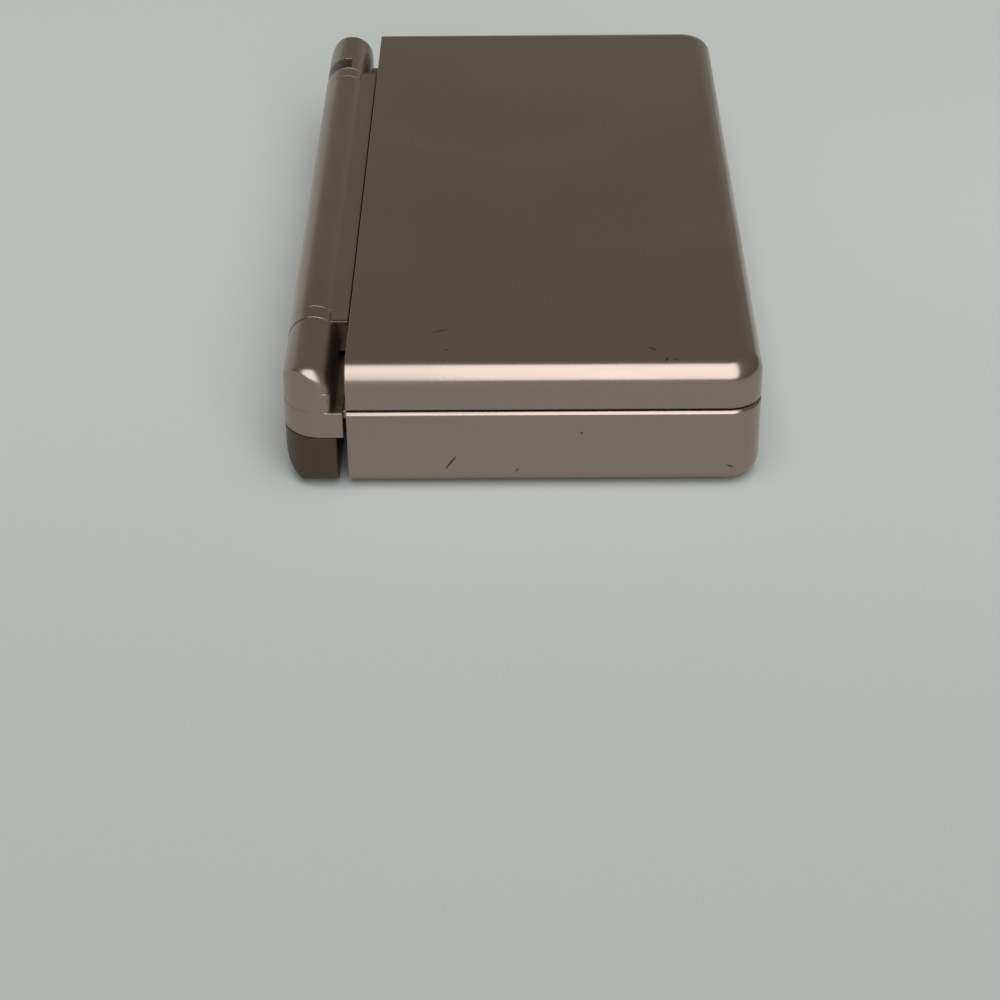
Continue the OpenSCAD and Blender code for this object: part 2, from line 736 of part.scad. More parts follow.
module headphone_jack() {
    color([0.08, 0.08, 0.08]) difference() {
        union() {
            block([jack_x - 3.4, front_y + wall + 0.1, floor_z],
                [jack_x + 3.4, front_y + jack_l, board_under - 0.1]);
            rod_y(jack_x, front_y + 0.15, front_y + wall + 0.2, jack_z, jack_collar_r);
        }
        rod_y(jack_x, front_y - 1, front_y + jack_l - 1, jack_z, jack_r);
    }
}

module button_membrane() {
    color([0.75, 0.75, 0.72]) difference() {
        union() {
            translate([pad_x, pad_cy, board_top]) cylinder(h = sheet_t, r = button_pitch + 4);
            translate([small_x - 3, small_y - small_pitch - 3, board_top])
                cube([6, small_pitch + 6, sheet_t]);
            for (a = [0:90:270]) translate([pad_x, pad_cy, board_top]) rotate(a)
                translate([button_pitch, 0, 0]) cylinder(h = ring_top - board_top, r = button_r);
            for (k = [0, 1]) translate([small_x, small_y - k * small_pitch, board_top])
                cylinder(h = ring_top - board_top, r = small_r + 0.6);
        }
        for (a = [0:90:270]) translate([pad_x, pad_cy, board_top - 1]) rotate(a)
            translate([button_pitch, 0, 0]) cylinder(h = 4, r = button_r - 0.8);
        for (k = [0, 1]) translate([small_x, small_y - k * small_pitch, board_top - 1])
            cylinder(h = 4, r = small_r - 0.2);
    }
}

module shoulder_pins() {
    color("silver") for (s = [-1, 1]) translate([s * pivot_x, pivot_y, foot_h + 0.45])
        cylinder(h = skirt_z + 1.2 - foot_h - 0.45, r = pivot_r);
}

// ---- controls ----

// right shoulder button: a plate that wraps the corner, turning on a pin at its inner end
module shoulder() {
    difference() {
        union() {
            intersection() {
                translate([0, 0, shoulder_z0]) linear_extrude(shoulder_z1 - shoulder_z0) difference() {
                    plan(half_w, shoulder_front, rear_y, 0.4, shoulder_r);
                    translate([-half_w - 1, shoulder_front - 1]) square([half_w + 1 + lug_x + 0.3, body_d]);
                }
                // rounded lower back edge
                union() {
                    rod_x(0, half_w + 1, rear_y - 5, shoulder_z0 + 5, 5);
                    block([0, shoulder_front - 1, shoulder_z0], [half_w + 1, rear_y - 5, base_top]);
                    block([0, shoulder_front - 1, shoulder_z0 + 5], [half_w + 1, rear_y, base_top]);
                }
                // rounded lower end edge, in line with the base's rim
                union() {
                    rod_y(half_w - shoulder_rim, shoulder_front - 1, rear_y + 1, shoulder_z0 + shoulder_rim,
                        shoulder_rim);
                    block([0, shoulder_front - 1, 0], [half_w - shoulder_rim, rear_y + 1, base_top]);
                    block([0, shoulder_front - 1, shoulder_z0 + shoulder_rim],
                        [half_w, rear_y + 1, base_top]);
                }
            }
            // inner end, over the lug
            block([pivot_x, shoulder_front + 1, floor_z + 0.2], [lug_x + 0.4, rear_y, shoulder_z1]);
            translate([pivot_x, pivot_y, floor_z + 0.2])
                cylinder(h = shoulder_z1 - floor_z - 0.2, r = pivot_r + 0.8);
        }
        translate([pivot_x, pivot_y, 0]) cylinder(h = base_top, r = pivot_r + pin_clear);
        // hollow behind the face
        block([lug_x + 2, shoulder_front + 1.5, shoulder_z0 + 1.5],
            [half_w - 3, pivot_y + 2.4, shoulder_z1 - 1.5]);
    }
}

module shoulder_right() {
    color([0.27, 0.22, 0.18]) shoulder();
}

module shoulder_left() {
    color([0.27, 0.22, 0.18]) mirror([1, 0, 0]) shoulder();
}

module dpad() {
    color([0.30, 0.27, 0.26]) translate([-pad_x, pad_cy, 0]) difference() {
        union() {
            translate([0, 0, dpad_flange_top - eps])
                linear_extrude(deck_z + dpad_rise - dpad_flange_top) cross(dpad_span, dpad_arm, 0.8);
            translate([0, 0, dpad_flange_top - dpad_flange_t]) cylinder(h = dpad_flange_t, r = dpad_flange_r);
            translate([0, 0, rubber_z + rubber_t + 0.05])
                cylinder(h = dpad_flange_top - rubber_z - rubber_t - 0.1, r = 1.2);
        }
        // dished centre
        translate([0, 0, deck_z + dpad_rise + 6.6]) sphere(r = 7);
    }
}

module dpad_rubber() {
    color([0.75, 0.75, 0.72]) translate([-pad_x, pad_cy, 0]) {
        translate([0, 0, rubber_z]) cylinder(h = rubber_t, r = rubber_r);
        translate([0, 0, dpad_pivot_z]) cylinder(h = rubber_z - dpad_pivot_z + eps, r = 1);
    }
}

// round button with its flange under the deck and its contact stem
module push_button(r, rise, dish) {
    difference() {
        union() {
            translate([0, 0, flange_top - eps]) cylinder(h = deck_z + rise - flange_top - 0.25, r = r);
            translate([0, 0, deck_z + rise - 0.26 - eps]) cylinder(h = 0.26, r1 = r, r2 = r - 0.25);
            translate([0, 0, flange_top - flange_t]) cylinder(h = flange_t, r = r + flange_w);
            translate([0, 0, board_top + button_travel + 0.1])
                cylinder(h = flange_top - flange_t - board_top - button_travel, r = r - 0.8 - 0.4);
        }
        if (dish > 0) translate([0, 0, deck_z + rise + dish]) sphere(r = dish + 0.15);
    }
}

module face_button(a) {
    color([0.30, 0.27, 0.26]) translate([pad_x, pad_cy, 0]) rotate(a)
        translate([button_pitch, 0, 0]) push_button(button_r, button_rise, 0);
}

module button_a() {
    face_button(0);
}

module button_x() {
    face_button(90);
}

module button_y() {
    face_button(180);
}

module button_b() {
    face_button(270);
}

module start_button() {
    color([0.30, 0.27, 0.26]) translate([small_x, small_y, 0]) push_button(small_r, small_rise, 0);
}

module select_button() {
    color([0.30, 0.27, 0.26]) translate([small_x, small_y - small_pitch, 0])
        push_button(small_r, small_rise, 0);
}

module power_switch() {
    color([0.27, 0.22, 0.18]) difference() {
        union() {
            block([half_w - wall - 0.5, power_y - knob_w / 2, power_z - knob_h / 2],
                [half_w - 0.1, power_y + knob_w / 2, power_z + knob_h / 2]);
            block([half_w - wall - 1.1, power_y - knob_w / 2 - power_travel - 0.7, power_z - knob_h / 2 - 0.8],
                [half_w - wall - 0.1, power_y + knob_w / 2 + 0.7, power_z + knob_h / 2 + 0.8]);
        }
        // grip grooves
        for (k = [-1:1]) translate([half_w - 0.1, power_y + 1.2 * k, power_z]) cube([0.5, 0.4, 3], center = true);
    }
}

module volume_slider() {
    color([0.27, 0.22, 0.18]) difference() {
        union() {
            block([volume_x - knob_w / 2, front_y + 0.1, volume_z - knob_h / 2],
                [volume_x + knob_w / 2, front_y + wall + 0.5, volume_z + knob_h / 2]);
            block([volume_x - knob_w / 2 - 0.7, front_y + wall + 0.1, volume_z - knob_h / 2 - 0.8],
                [volume_x + knob_w / 2 + 0.7, front_y + wall + 1.1, volume_z + knob_h / 2 + 0.8]);
        }
        for (k = [-1:1]) translate([volume_x + 1.2 * k, front_y + 0.1, volume_z]) cube([0.4, 0.5, 3], center = true);
    }
}

module stylus() {
    color([0.27, 0.22, 0.18]) translate([half_w, stylus_y, stylus_z]) rotate([0, -90, 0]) difference() {
        rotate_extrude() polygon([[0, 0.1], [stylus_r - 0.5, 0.1], [stylus_r, 0.6], [stylus_r, stylus_l - 9],
            [stylus_r - 0.5, stylus_l - 8], [1, stylus_l - 2], [0.6, stylus_l - 0.6], [0, stylus_l - 0.3]]);
        // thumb catch near the end
        translate([-stylus_r - 2, -3, 3]) cube([2.7, 6, 5]);
    }
}

module slot_cover() {
    color([0.27, 0.22, 0.18]) difference() {
        block([-cart_w / 2 + cart_clear, front_y + 0.25, cart_z0 + cart_clear],
            [cart_w / 2 - cart_clear, guide_back - contacts_d - 1.2, cart_z0 + cart_h - cart_clear]);
        // open underside, ribbed
        for (k = [-2:2]) block([11.4 * k - 5, front_y + 2, cart_z0 - 1],
            [11.4 * k + 5, guide_back - contacts_d - 2.4, cart_z0 + cart_h - 1.6]);
        // finger notch
        translate([0, front_y + 0.25, cart_z0]) rotate([0, 0, 0]) cube([16, 1.6, 2], center = true);
    }
}

// ---- lid ----

module lid_cover() {
    color(shell_color) difference() {
        union() {
            difference() {
                // upper rim rounded at the front and the ends, square at the back
                intersection() {
                    translate([0, 0, lid_top]) mirror([0, 0, 1])
                        shell_body(half_w, front_y, cover_y + 12, lid_t, corner_r, corner_r, lid_edge_r);
                    block([-half_w - 1, front_y - 1, lid_bottom], [half_w + 1, cover_y, lid_top + 1]);
                }
                translate([0, 0, lid_bottom - 1]) linear_extrude(lid_ceiling - lid_bottom + 1)
                    plan(half_w - lid_wall, front_y + lid_wall, cover_y - lid_wall, corner_r - lid_wall, 0.5);
            }
            // screw bosses
            for (p = lid_screw_at) translate([p[0], p[1], lid_seat_z + seat_rise])
                cylinder(h = lid_ceiling - lid_seat_z - seat_rise + eps, r = 2.4);
        }
        // way for the neck
        block([-joint_x, cover_y - lid_wall - 1, lid_bottom - 1], [joint_x, cover_y + 1, bezel_back + fit_gap]);
        for (p = lid_screw_at) translate([p[0], p[1], lid_seat_z]) cylinder(h = lid_shank + 0.2, r = screw_r + part_gap);
    }
}

module lid_frame() {
    color(inner_color) difference() {
        union() {
            translate([0, 0, bezel_z]) linear_extrude(bezel_t)
                plan(half_w - lid_wall - fit_gap, front_y + lid_wall + fit_gap, cover_y - lid_wall - fit_gap,
                    corner_r - lid_wall, 0.5);
            // neck and barrel
            block([-barrel_end, cover_y - lid_wall - 1, bezel_z], [barrel_end, neck_y + 1, bezel_back]);
            block([-barrel_end, neck_y, bezel_z], [barrel_end, hinge_y - 1, neck_top]);
            rod_x(-collar_x, collar_x, hinge_y, hinge_z, barrel_r);
            // screw seats and speaker rims
            for (p = lid_screw_at) translate([p[0], p[1], bezel_back - eps])
                cylinder(h = lid_seat_z + seat_rise - part_gap - bezel_back, r = 2.8);
            for (s = [-1, 1]) translate([s * speaker_x, screen_y2, bezel_back - eps]) difference() {
                cylinder(h = 1.2, r = speaker_r + 0.9);
                cylinder(h = 3, r = speaker_r + 0.1);
            }
        }
        // bore of the barrel, narrower at its ends
        rod_x(-collar_x + end_bore, collar_x - end_bore, hinge_y, hinge_z, barrel_bore_r);
        rod_x(-joint_x, joint_x, hinge_y, hinge_z, pin_r + pin_clear);
        // seats of the collars
        for (s = [-1, 1]) mirror([s < 0 ? 1 : 0, 0, 0])
            rod_x(collar_x, joint_x, hinge_y, hinge_z, barrel_r + part_gap);
        // upper screen and its window
        plate(screen_w + 2 * opening_margin, screen_d + 2 * opening_margin, bezel_z - 1, bezel_back + 1, screen_y2);
        plate(screen_w + 2 * window_margin + 0.2, screen_d + 6.2, bezel_z - 1, bezel_z + glass_t, screen_y2);
        // speaker holes
        for (s = [-1, 1], i = [-1:1], j = [-0.5, 0.5])
            translate([s * (speaker_x + 5 * j * 0.9), screen_y2 + 4 * i, bezel_z - 1]) cylinder(h = 4, r = 0.8);
        // bumpers and screws
        for (p = lid_screw_at) translate([p[0], p[1], bezel_z - 1]) {
            cylinder(h = bumper_t + 1, r = bumper_r + 0.05);
            cylinder(h = lid_seat_z - bezel_z + 1, r = head_r + 0.1);
            cylinder(h = 9, r = screw_r + 0.1);
        }
        // microphone
        translate([0, mic_y, bezel_z - 1]) cylinder(h = 1 + mic_t + 0.1, r = mic_r + part_gap);
    }
}

module hinge_collars() {
    color([0.50, 0.43, 0.40]) for (s = [-1, 1]) mirror([s < 0 ? 1 : 0, 0, 0]) difference() {
        rod_x(collar_x + part_gap, barrel_end, hinge_y, hinge_z, barrel_r);
        rod_x(0, half_w, hinge_y, hinge_z, pin_r + pin_clear);
    }
}

module hinge_pin() {
    color("silver") difference() {
        rod_x(-joint_x - pin_reach + pin_play, -collar_x + end_bore - pin_play, hinge_y, hinge_z, pin_r);
        rod_x(-half_w, half_w, hinge_y, hinge_z, pin_r - pin_wall);
    }
}

module hinge_clutch() {
    color("silver") {
        rod_x(collar_x - end_bore - 1, joint_x + pin_reach - pin_play, hinge_y, hinge_z, pin_r);
        rod_x(collar_x - clutch_l, collar_x - end_bore - part_gap, hinge_y, hinge_z,
            barrel_bore_r - part_gap);
    }
}

module display_cable() {
    color([0.65, 0.45, 0.15]) difference() {
        rod_x(-collar_x + end_bore + inner_gap, collar_x - clutch_l - inner_gap, hinge_y, hinge_z,
            barrel_bore_r - part_gap);
        rod_x(-half_w, half_w, hinge_y, hinge_z, pin_r - pin_wall / 2);
    }
}

module upper_display() {
    color([0.2, 0.2, 0.22]) plate(module_w, module_d, bezel_back, bezel_back + module_t, screen_y2);
}

module upper_window() {
    color([0.05, 0.05, 0.06]) plate(screen_w + 2 * window_margin, screen_d + 6, bezel_z + 0.05,
        bezel_z + glass_t, screen_y2, 2);
}

module speakers() {
    color([0.15, 0.15, 0.15]) for (s = [-1, 1]) translate([s * speaker_x, screen_y2, bezel_back])
        rotate_extrude() polygon([[0, 0.4], [speaker_r - 1.5, 0.4], [speaker_r - 1.2, 0], [speaker_r, 0],
            [speaker_r, 1], [speaker_r - 1.5, 1.2], [speaker_r - 1.8, speaker_t], [0, speaker_t]]);
}

module microphone() {
    color([0.1, 0.1, 0.1]) translate([0, mic_y, bezel_z]) difference() {
        cylinder(h = mic_t, r = mic_r);
        translate([0, 0, -1]) cylinder(h = 1.6, r = 0.5);
    }
}

module lid_screws() {
    color("silver") for (p = lid_screw_at) translate([p[0], p[1], 0])
        screw(lid_seat_z - head_h, lid_shank, screw_r, head_r, head_h);
}

module lid_bumpers() {
    color([0.12, 0.11, 0.11]) for (p = lid_screw_at) translate([p[0], p[1], deck_z + 0.2])
        cylinder(h = bezel_z + bumper_t - deck_z - 0.25, r = bumper_r);
}

bottom_case();
top_case();
battery_cover();
battery_cover_screw();
battery_pack();
case_screws();
rubber_feet();
main_board();
wireless_module();
lower_display();
touch_panel();
cartridge_guide();
cartridge_contacts();
card_socket();
charging_port();
headphone_jack();
button_membrane();
led_window();
shoulder_pins();
shoulder_left();
shoulder_right();
dpad();
dpad_rubber();
button_a();
button_b();
button_x();
button_y();
start_button();
select_button();
power_switch();
volume_slider();
stylus();
slot_cover();
lid_cover();
lid_frame();
hinge_collars();
hinge_pin();
hinge_clutch();
upper_display();
upper_window();
speakers();
microphone();
lid_screws();
lid_bumpers();
display_cable();
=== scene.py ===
"""Clamshell handheld console: finishes, small inner pieces, camera, floor and light.

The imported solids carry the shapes. This file dresses each of them in a finish made of shader
nodes, adds the small contacts, rings and cloths that sit inside the openings, and lights the
console on a plain pale table, seen from its left end.
"""

import json
import logging
import math
from collections.abc import Callable
from dataclasses import dataclass, replace
from enum import Enum

import bmesh
import bpy
from mathutils import Matrix, Vector

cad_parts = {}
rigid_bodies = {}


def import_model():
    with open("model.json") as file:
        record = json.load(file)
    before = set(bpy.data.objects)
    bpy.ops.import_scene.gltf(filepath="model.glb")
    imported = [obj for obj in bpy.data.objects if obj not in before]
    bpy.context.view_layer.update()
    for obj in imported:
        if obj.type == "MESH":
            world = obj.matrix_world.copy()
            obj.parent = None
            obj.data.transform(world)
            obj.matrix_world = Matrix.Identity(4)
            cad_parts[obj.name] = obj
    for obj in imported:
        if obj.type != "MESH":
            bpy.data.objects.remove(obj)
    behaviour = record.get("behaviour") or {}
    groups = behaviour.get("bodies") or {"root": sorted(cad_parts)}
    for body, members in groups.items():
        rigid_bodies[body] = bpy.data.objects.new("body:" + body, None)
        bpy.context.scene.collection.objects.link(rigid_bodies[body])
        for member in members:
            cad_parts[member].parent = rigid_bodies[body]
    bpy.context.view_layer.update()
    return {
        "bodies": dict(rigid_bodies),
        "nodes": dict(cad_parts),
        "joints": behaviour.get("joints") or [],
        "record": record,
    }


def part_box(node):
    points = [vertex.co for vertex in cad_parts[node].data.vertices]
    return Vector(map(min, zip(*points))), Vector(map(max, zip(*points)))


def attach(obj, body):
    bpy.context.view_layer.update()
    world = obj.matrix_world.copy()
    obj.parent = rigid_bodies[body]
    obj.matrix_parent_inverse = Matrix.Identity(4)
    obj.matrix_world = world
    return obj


log = logging.getLogger("console")
MM = 0.001
Color = tuple[float, float, float]
Point = tuple[float, float, float]
Pair = tuple[float, float]
Socket = bpy.types.NodeSocket
Sockets = bpy.types.NodeOutputs


def add_object(name: str, data: bpy.types.ID) -> bpy.types.Object:
    """Makes an object and links it to the scene.

    Args:
        name: the object's name.
        data: its mesh, lamp or camera.

    Returns:
        The new object.
    """
    made = bpy.data.objects.new(name, data)
    bpy.context.collection.objects.link(made)
    return made


def standing(place: Vector, *axes: Vector) -> Matrix:
    """The pose of something that stands at a place, from its own three axes."""
    return Matrix.Translation(place) @ Matrix(axes).transposed().to_4x4()


# ---- shader trees

class NodeTree:
    """A node tree being built, with short calls for placing and joining nodes."""

    def __init__(self, tree: bpy.types.NodeTree) -> None:
        """Takes over a tree and clears it."""
        self.tree = tree
        tree.nodes.clear()

    def node(self, kind: str, inputs: dict[int | str, object] | None = None,
             **settings: object) -> bpy.types.Node:
        """Places a node.

        Args:
            kind: the node's type name, without the leading ShaderNode.
            inputs: a socket or a constant for each input that is named here.
            **settings: attributes to set on it.

        Returns:
            The new node.
        """
        prefix = "" if kind.startswith("NodeGroup") else "ShaderNode"
        made = self.tree.nodes.new(prefix + kind)
        for key, value in settings.items():
            setattr(made, key, value)
        self.feed(made, inputs or {})
        return made

    def feed(self, node: bpy.types.Node, inputs: dict[int | str, object]) -> None:
        """Sets a node's inputs.

        Args:
            node: the node that takes the values.
            inputs: a socket to link, or a constant, by the input's name or index.
        """
        for slot, value in inputs.items():
            target = node.inputs[slot]
            if isinstance(value, Socket):
                self.tree.links.new(value, target)
            else:
                target.default_value = (*value, 1.0) if target.type == "RGBA" else value

    def math(self, operation: str, *values: object, clamp: bool = False) -> Socket:
        """Places a Math node on up to three numbers or sockets."""
        inputs = dict(enumerate(values))
        return self.node("Math", inputs, operation=operation, use_clamp=clamp).outputs[0]

    def times(self, first: object, second: object) -> Socket:
        """The product of two values."""
        return self.math("MULTIPLY", first, second)

    def vector(self, operation: str, *values: object) -> Socket:
        """Places a Vector Math node; a dot product gives a number, the others a vector."""
        made = self.node("VectorMath", dict(enumerate(values)), operation=operation)
        return made.outputs["Value" if operation == "DOT_PRODUCT" else "Vector"]

    def place(self) -> Socket:
        """The point on the object, in the object's own metres."""
        return self.node("TexCoord").outputs["Object"]

    def axes(self, vector: Socket) -> Sockets:
        """The three parts of a vector."""
        return self.node("SeparateXYZ", {0: vector}).outputs

    def span(self, value: object, low: float, high: float, to_low: float = 0.0,
             to_high: float = 1.0) -> Socket:
        """Maps a value smoothly from one range to another, held at the ends."""
        inputs = dict(enumerate((value, low, high, to_low, to_high)))
        return self.node("MapRange", inputs, interpolation_type="SMOOTHSTEP").outputs[0]

    def noise(self, place: Socket, scale: object, detail: float, distortion: float = 0.0) -> Socket:
        """A noise from 0 to 1, its scale in waves per metre."""
        inputs = {"Vector": place, "Scale": scale, "Detail": detail, "Distortion": distortion}
        return self.node("TexNoise", inputs).outputs[0]

    def wave(self, part: Socket, pitch: float) -> Socket:
        """Even humps from 0 to 1 along one axis, a pitch apart."""
        return self.math("ABSOLUTE", self.math("SINE", self.times(part, math.pi / pitch)))

    def mix(self, factor: Socket, first: object, second: object) -> Socket:
        """Mixes two colours, the first at 0 and the second at 1."""
        return self.node("Mix", {0: factor, 6: first, 7: second}, data_type="RGBA").outputs[2]


class EffectLibrary:
    """The node groups that several finishes share, each built once."""

    def __init__(self) -> None:
        """Builds every group."""
        self.groups: dict[str, bpy.types.NodeTree] = {}
        nowhere = (0.0, 0.0, 0.0)
        self._group("surface_grain", self._grain, {"Scale": 6000.0, "Flake": 0.5})
        self._group("edge_wear", self._edge_wear, {"Radius": 0.0002, "Amount": 0.5})
        self._group("handling_marks", self._handling, {"Smear Scale": 22.0, "Hairline Scale": 420.0})
        self._group("scratch_mark", self._scratch, {"Centre": nowhere, "Along": (1.0, 0.0, 0.0),
                                                    "Length": 0.002, "Width": 0.0001})
        self._group("grime_zone", self._grime_zone, {"Centre": nowhere, "Half": (1.0, 1.0, 1.0),
                                                     "Softness": 0.0008})

    def _group(self, name: str, build: Callable[[NodeTree, Sockets], dict[str, Socket]],
               inputs: dict[str, object]) -> None:
        """Builds one group with named sockets.

        Args:
            name: the group's name.
            build: places its nodes from its inputs, and gives its outputs by name.
            inputs: the default of each input by name.
        """
        group = bpy.data.node_groups.new(name, "ShaderNodeTree")
        tree = NodeTree(group)
        for label, default in inputs.items():
            kind = "NodeSocketVector" if isinstance(default, tuple) else "NodeSocketFloat"
            group.interface.new_socket(label, in_out="INPUT", socket_type=kind).default_value = default
        results = build(tree, tree.node("NodeGroupInput").outputs)
        for label, result in results.items():
            kind = "NodeSocketVector" if result.type == "VECTOR" else "NodeSocketFloat"
            group.interface.new_socket(label, in_out="OUTPUT", socket_type=kind)
        tree.node("NodeGroupOutput", results)
        self.groups[name] = group

    def _grain(self, tree: NodeTree, given: Sockets) -> dict[str, Socket]:
        """Fine mottling of paint or moulded plastic.

        Args:
            tree: the group's tree.
            given: Scale in grains per metre, and Flake, how far each grain has its own tone.

        Returns:
            Tone, a value around one half, and Height.
        """
        place = tree.place()
        noise = tree.noise(place, given["Scale"], 3.0)
        cells = tree.node("TexVoronoi", {"Vector": place, "Scale": tree.times(given["Scale"], 1.7)},
                          feature="F1")
        flakes = tree.node("SeparateColor", {0: cells.outputs["Color"]})
        tone = tree.node("Mix", {0: given["Flake"], 2: noise, 3: flakes.outputs[0]}, data_type="FLOAT")
        return {"Tone": tone.outputs[0], "Height": noise}

    def _edge_wear(self, tree: NodeTree, given: Sockets) -> dict[str, Socket]:
        """Where an edge is rubbed.

        Args:
            tree: the group's tree.
            given: Radius of the softened edge in metres, and Amount of wear.

        Returns:
            Mask of the rubbed places, and Normal, softened over the edges.
        """
        rounded = tree.node("Bevel", {"Radius": given["Radius"]}, samples=6).outputs[0]
        facing = tree.vector("DOT_PRODUCT", rounded, tree.node("NewGeometry").outputs["Normal"])
        worn = tree.span(tree.noise(tree.place(), 260.0, 4.0), 0.46, 0.72)
        rubbed = tree.times(tree.span(facing, 0.995, 0.90), worn)
        return {"Mask": tree.math("MULTIPLY", rubbed, given["Amount"], clamp=True), "Normal": rounded}

    def _handling(self, tree: NodeTree, given: Sockets) -> dict[str, Socket]:
        """Marks of being handled.

        Args:
            tree: the group's tree.
            given: Smear Scale and Hairline Scale, in marks per metre.

        Returns:
            Smear and Hairline, a mask each.
        """
        place = tree.place()
        smear = tree.noise(place, given["Smear Scale"], 5.0, 0.6)
        turn = tree.node("Mapping", {"Vector": place, "Rotation": (0.3, 0.5, 0.9),
                                     "Scale": (1.0, 0.04, 0.3)})
        line = tree.noise(turn.outputs[0], given["Hairline Scale"], 2.0)
        return {"Smear": tree.span(smear, 0.35, 0.7), "Hairline": tree.span(line, 0.70, 0.78)}

    def _scratch(self, tree: NodeTree, given: Sockets) -> dict[str, Socket]:
        """One short scratch, thinner to its ends.

        Args:
            tree: the group's tree.
            given: Centre, the direction Along, Length and Width.

        Returns:
            Mask of the scratch.
        """
        away = tree.vector("SUBTRACT", tree.place(), given["Centre"])
        run = tree.vector("DOT_PRODUCT", away, given["Along"])
        size = tree.vector("DOT_PRODUCT", away, away)
        side = tree.math("SQRT", tree.math("MAXIMUM", tree.math("SUBTRACT", size, tree.times(run, run)), 0.0))
        half = tree.times(given["Length"], 0.5)
        reach = tree.math("ABSOLUTE", run)
        taper = tree.math("SUBTRACT", 1.0, tree.math("DIVIDE", reach, half), clamp=True)
        thin = tree.math("LESS_THAN", side, tree.times(given["Width"], tree.math("POWER", taper, 0.5)))
        return {"Mask": tree.times(tree.math("LESS_THAN", reach, half), thin)}

    def _grime_zone(self, tree: NodeTree, given: Sockets) -> dict[str, Socket]:
        """A soft dark box in one place: painted shade in a gap between parts, and also a black print.

        Args:
            tree: the group's tree.
            given: Centre and Half of the box that it fills, and Softness of its border.

        Returns:
            Mask of the soft box.
        """
        place = tree.place()
        away = tree.vector("ABSOLUTE", tree.vector("SUBTRACT", place, given["Centre"]))
        over = tree.axes(tree.vector("SUBTRACT", away, given["Half"]))
        far = tree.math("MAXIMUM", tree.math("MAXIMUM", over[0], over[1]), over[2])
        depth = tree.math("DIVIDE", far, given["Softness"])
        rough = tree.math("ADD", depth, tree.math("SUBTRACT", tree.noise(place, 900.0, 3.0), 0.5))
        return {"Mask": tree.span(rough, 0.5, -0.5)}


class MaterialTree(NodeTree):
    """A new material with its shader, and short calls for what its finish joins to it."""

    def __init__(self, name: str, effects: EffectLibrary | None = None) -> None:
        """Starts the material.

        Args:
            name: the material's name.
            effects: the shared groups, where the material uses any.
        """
        self.material = bpy.data.materials.new(name)
        self.material.use_nodes = True
        super().__init__(self.material.node_tree)
        self.effects = effects
        self.shader = self.node("BsdfPrincipled")
        self.node("OutputMaterial", {"Surface": self.shader.outputs[0]})

    def look(self, **values: object) -> None:
        """Sets the shader's inputs, spaces in their names written as underscores."""
        self.feed(self.shader, {label.replace("_", " "): value for label, value in values.items()})

    def effect(self, name: str, **values: object) -> Sockets:
        """Places a shared group, its inputs given as in look, and gives its outputs."""
        inputs = {label.replace("_", " "): value for label, value in values.items()}
        return self.node("Group", inputs, node_tree=self.effects.groups[name]).outputs

    def bump(self, height: Socket, depth: float, strength: float, normal: Socket | None = None) -> None:
        """Feeds the shader's normal from a height.

        Args:
            height: the height, 0 to 1.
            depth: how deep a height of 1 is, in metres.
            strength: the bump's strength.
            normal: a normal to start from.
        """
        inputs = {"Strength": strength, "Distance": depth, "Height": height}
        if normal is not None:
            inputs["Normal"] = normal
        self.look(Normal=self.node("Bump", inputs).outputs[0])


# ---- finishes

@dataclass(frozen=True)
class Scratch:
    """One scratch in a finish: its middle, its direction, and its length and width in metres."""

    centre: Point
    along: Point
    length: float
    width: float


@dataclass(frozen=True)
class ShadeAndPrintBox:
    """A soft box, in metres, that darkens what is in it: painted shade in a gap between parts, and also a
    black print.
    """

    centre: Point
    half: Point
    softness: float
    amount: float = 0.6


@dataclass(frozen=True)
class Finish:
    """What all finishes share: a name, a colour and the plain numbers of the shader."""

    name: str
    color: Color
    roughness: float = 0.5
    metallic: float = 0.0
    coat: float = 0.0
    coat_roughness: float = 0.15

    def build(self, effects: EffectLibrary) -> bpy.types.Material:
        """Makes the material.

        Args:
            effects: the shared node groups.

        Returns:
            The material, ready to be put on a mesh.
        """
        tree = MaterialTree(self.name, effects)
        tree.material.diffuse_color = (*self.color, 1.0)
        tree.look(Base_Color=self.color, Roughness=self.roughness, Metallic=self.metallic,
                  Coat_Weight=self.coat, Coat_Roughness=self.coat_roughness)
        self.wire(tree)
        return tree.material

    def wire(self, tree: MaterialTree) -> None:
        """Joins the finish's own patterns to the shader; each finish has its own."""
        raise NotImplementedError

    def shade(self, factor: float, lift: float = 0.0, cap: float = 1.0) -> Color:
        """The finish's colour times a factor, lifted by a little and held under a cap."""
        return tuple(min(cap, part * factor + lift) for part in self.color)

    def tint(self, tree: MaterialTree, value: Socket, low: float, high: float,
             color: Color | None = None) -> Socket:
        """The finish's colour, made darker and lighter by a value.

        Args:
            tree: the material's tree.
            value: a socket from 0 to 1.
            low: factor on the colour at 0.
            high: factor on the colour at 1.
            color: another colour to start from.

        Returns:
            The colour's socket.
        """
        ramp = tree.node("ValToRGB", {0: value})
        for stop, factor in zip(ramp.color_ramp.elements, (low, high)):
            stop.color = (*(min(1.0, part * factor) for part in color or self.color), 1.0)
        return ramp.outputs[0]

    def rough(self, tree: MaterialTree, value: Socket, low: float, high: float,
              start: float = 0.0, stop: float = 1.0) -> Socket:
        """The roughness plus an offset that goes from low to high with a value."""
        return tree.span(value, start, stop, self.roughness + low, self.roughness + high)


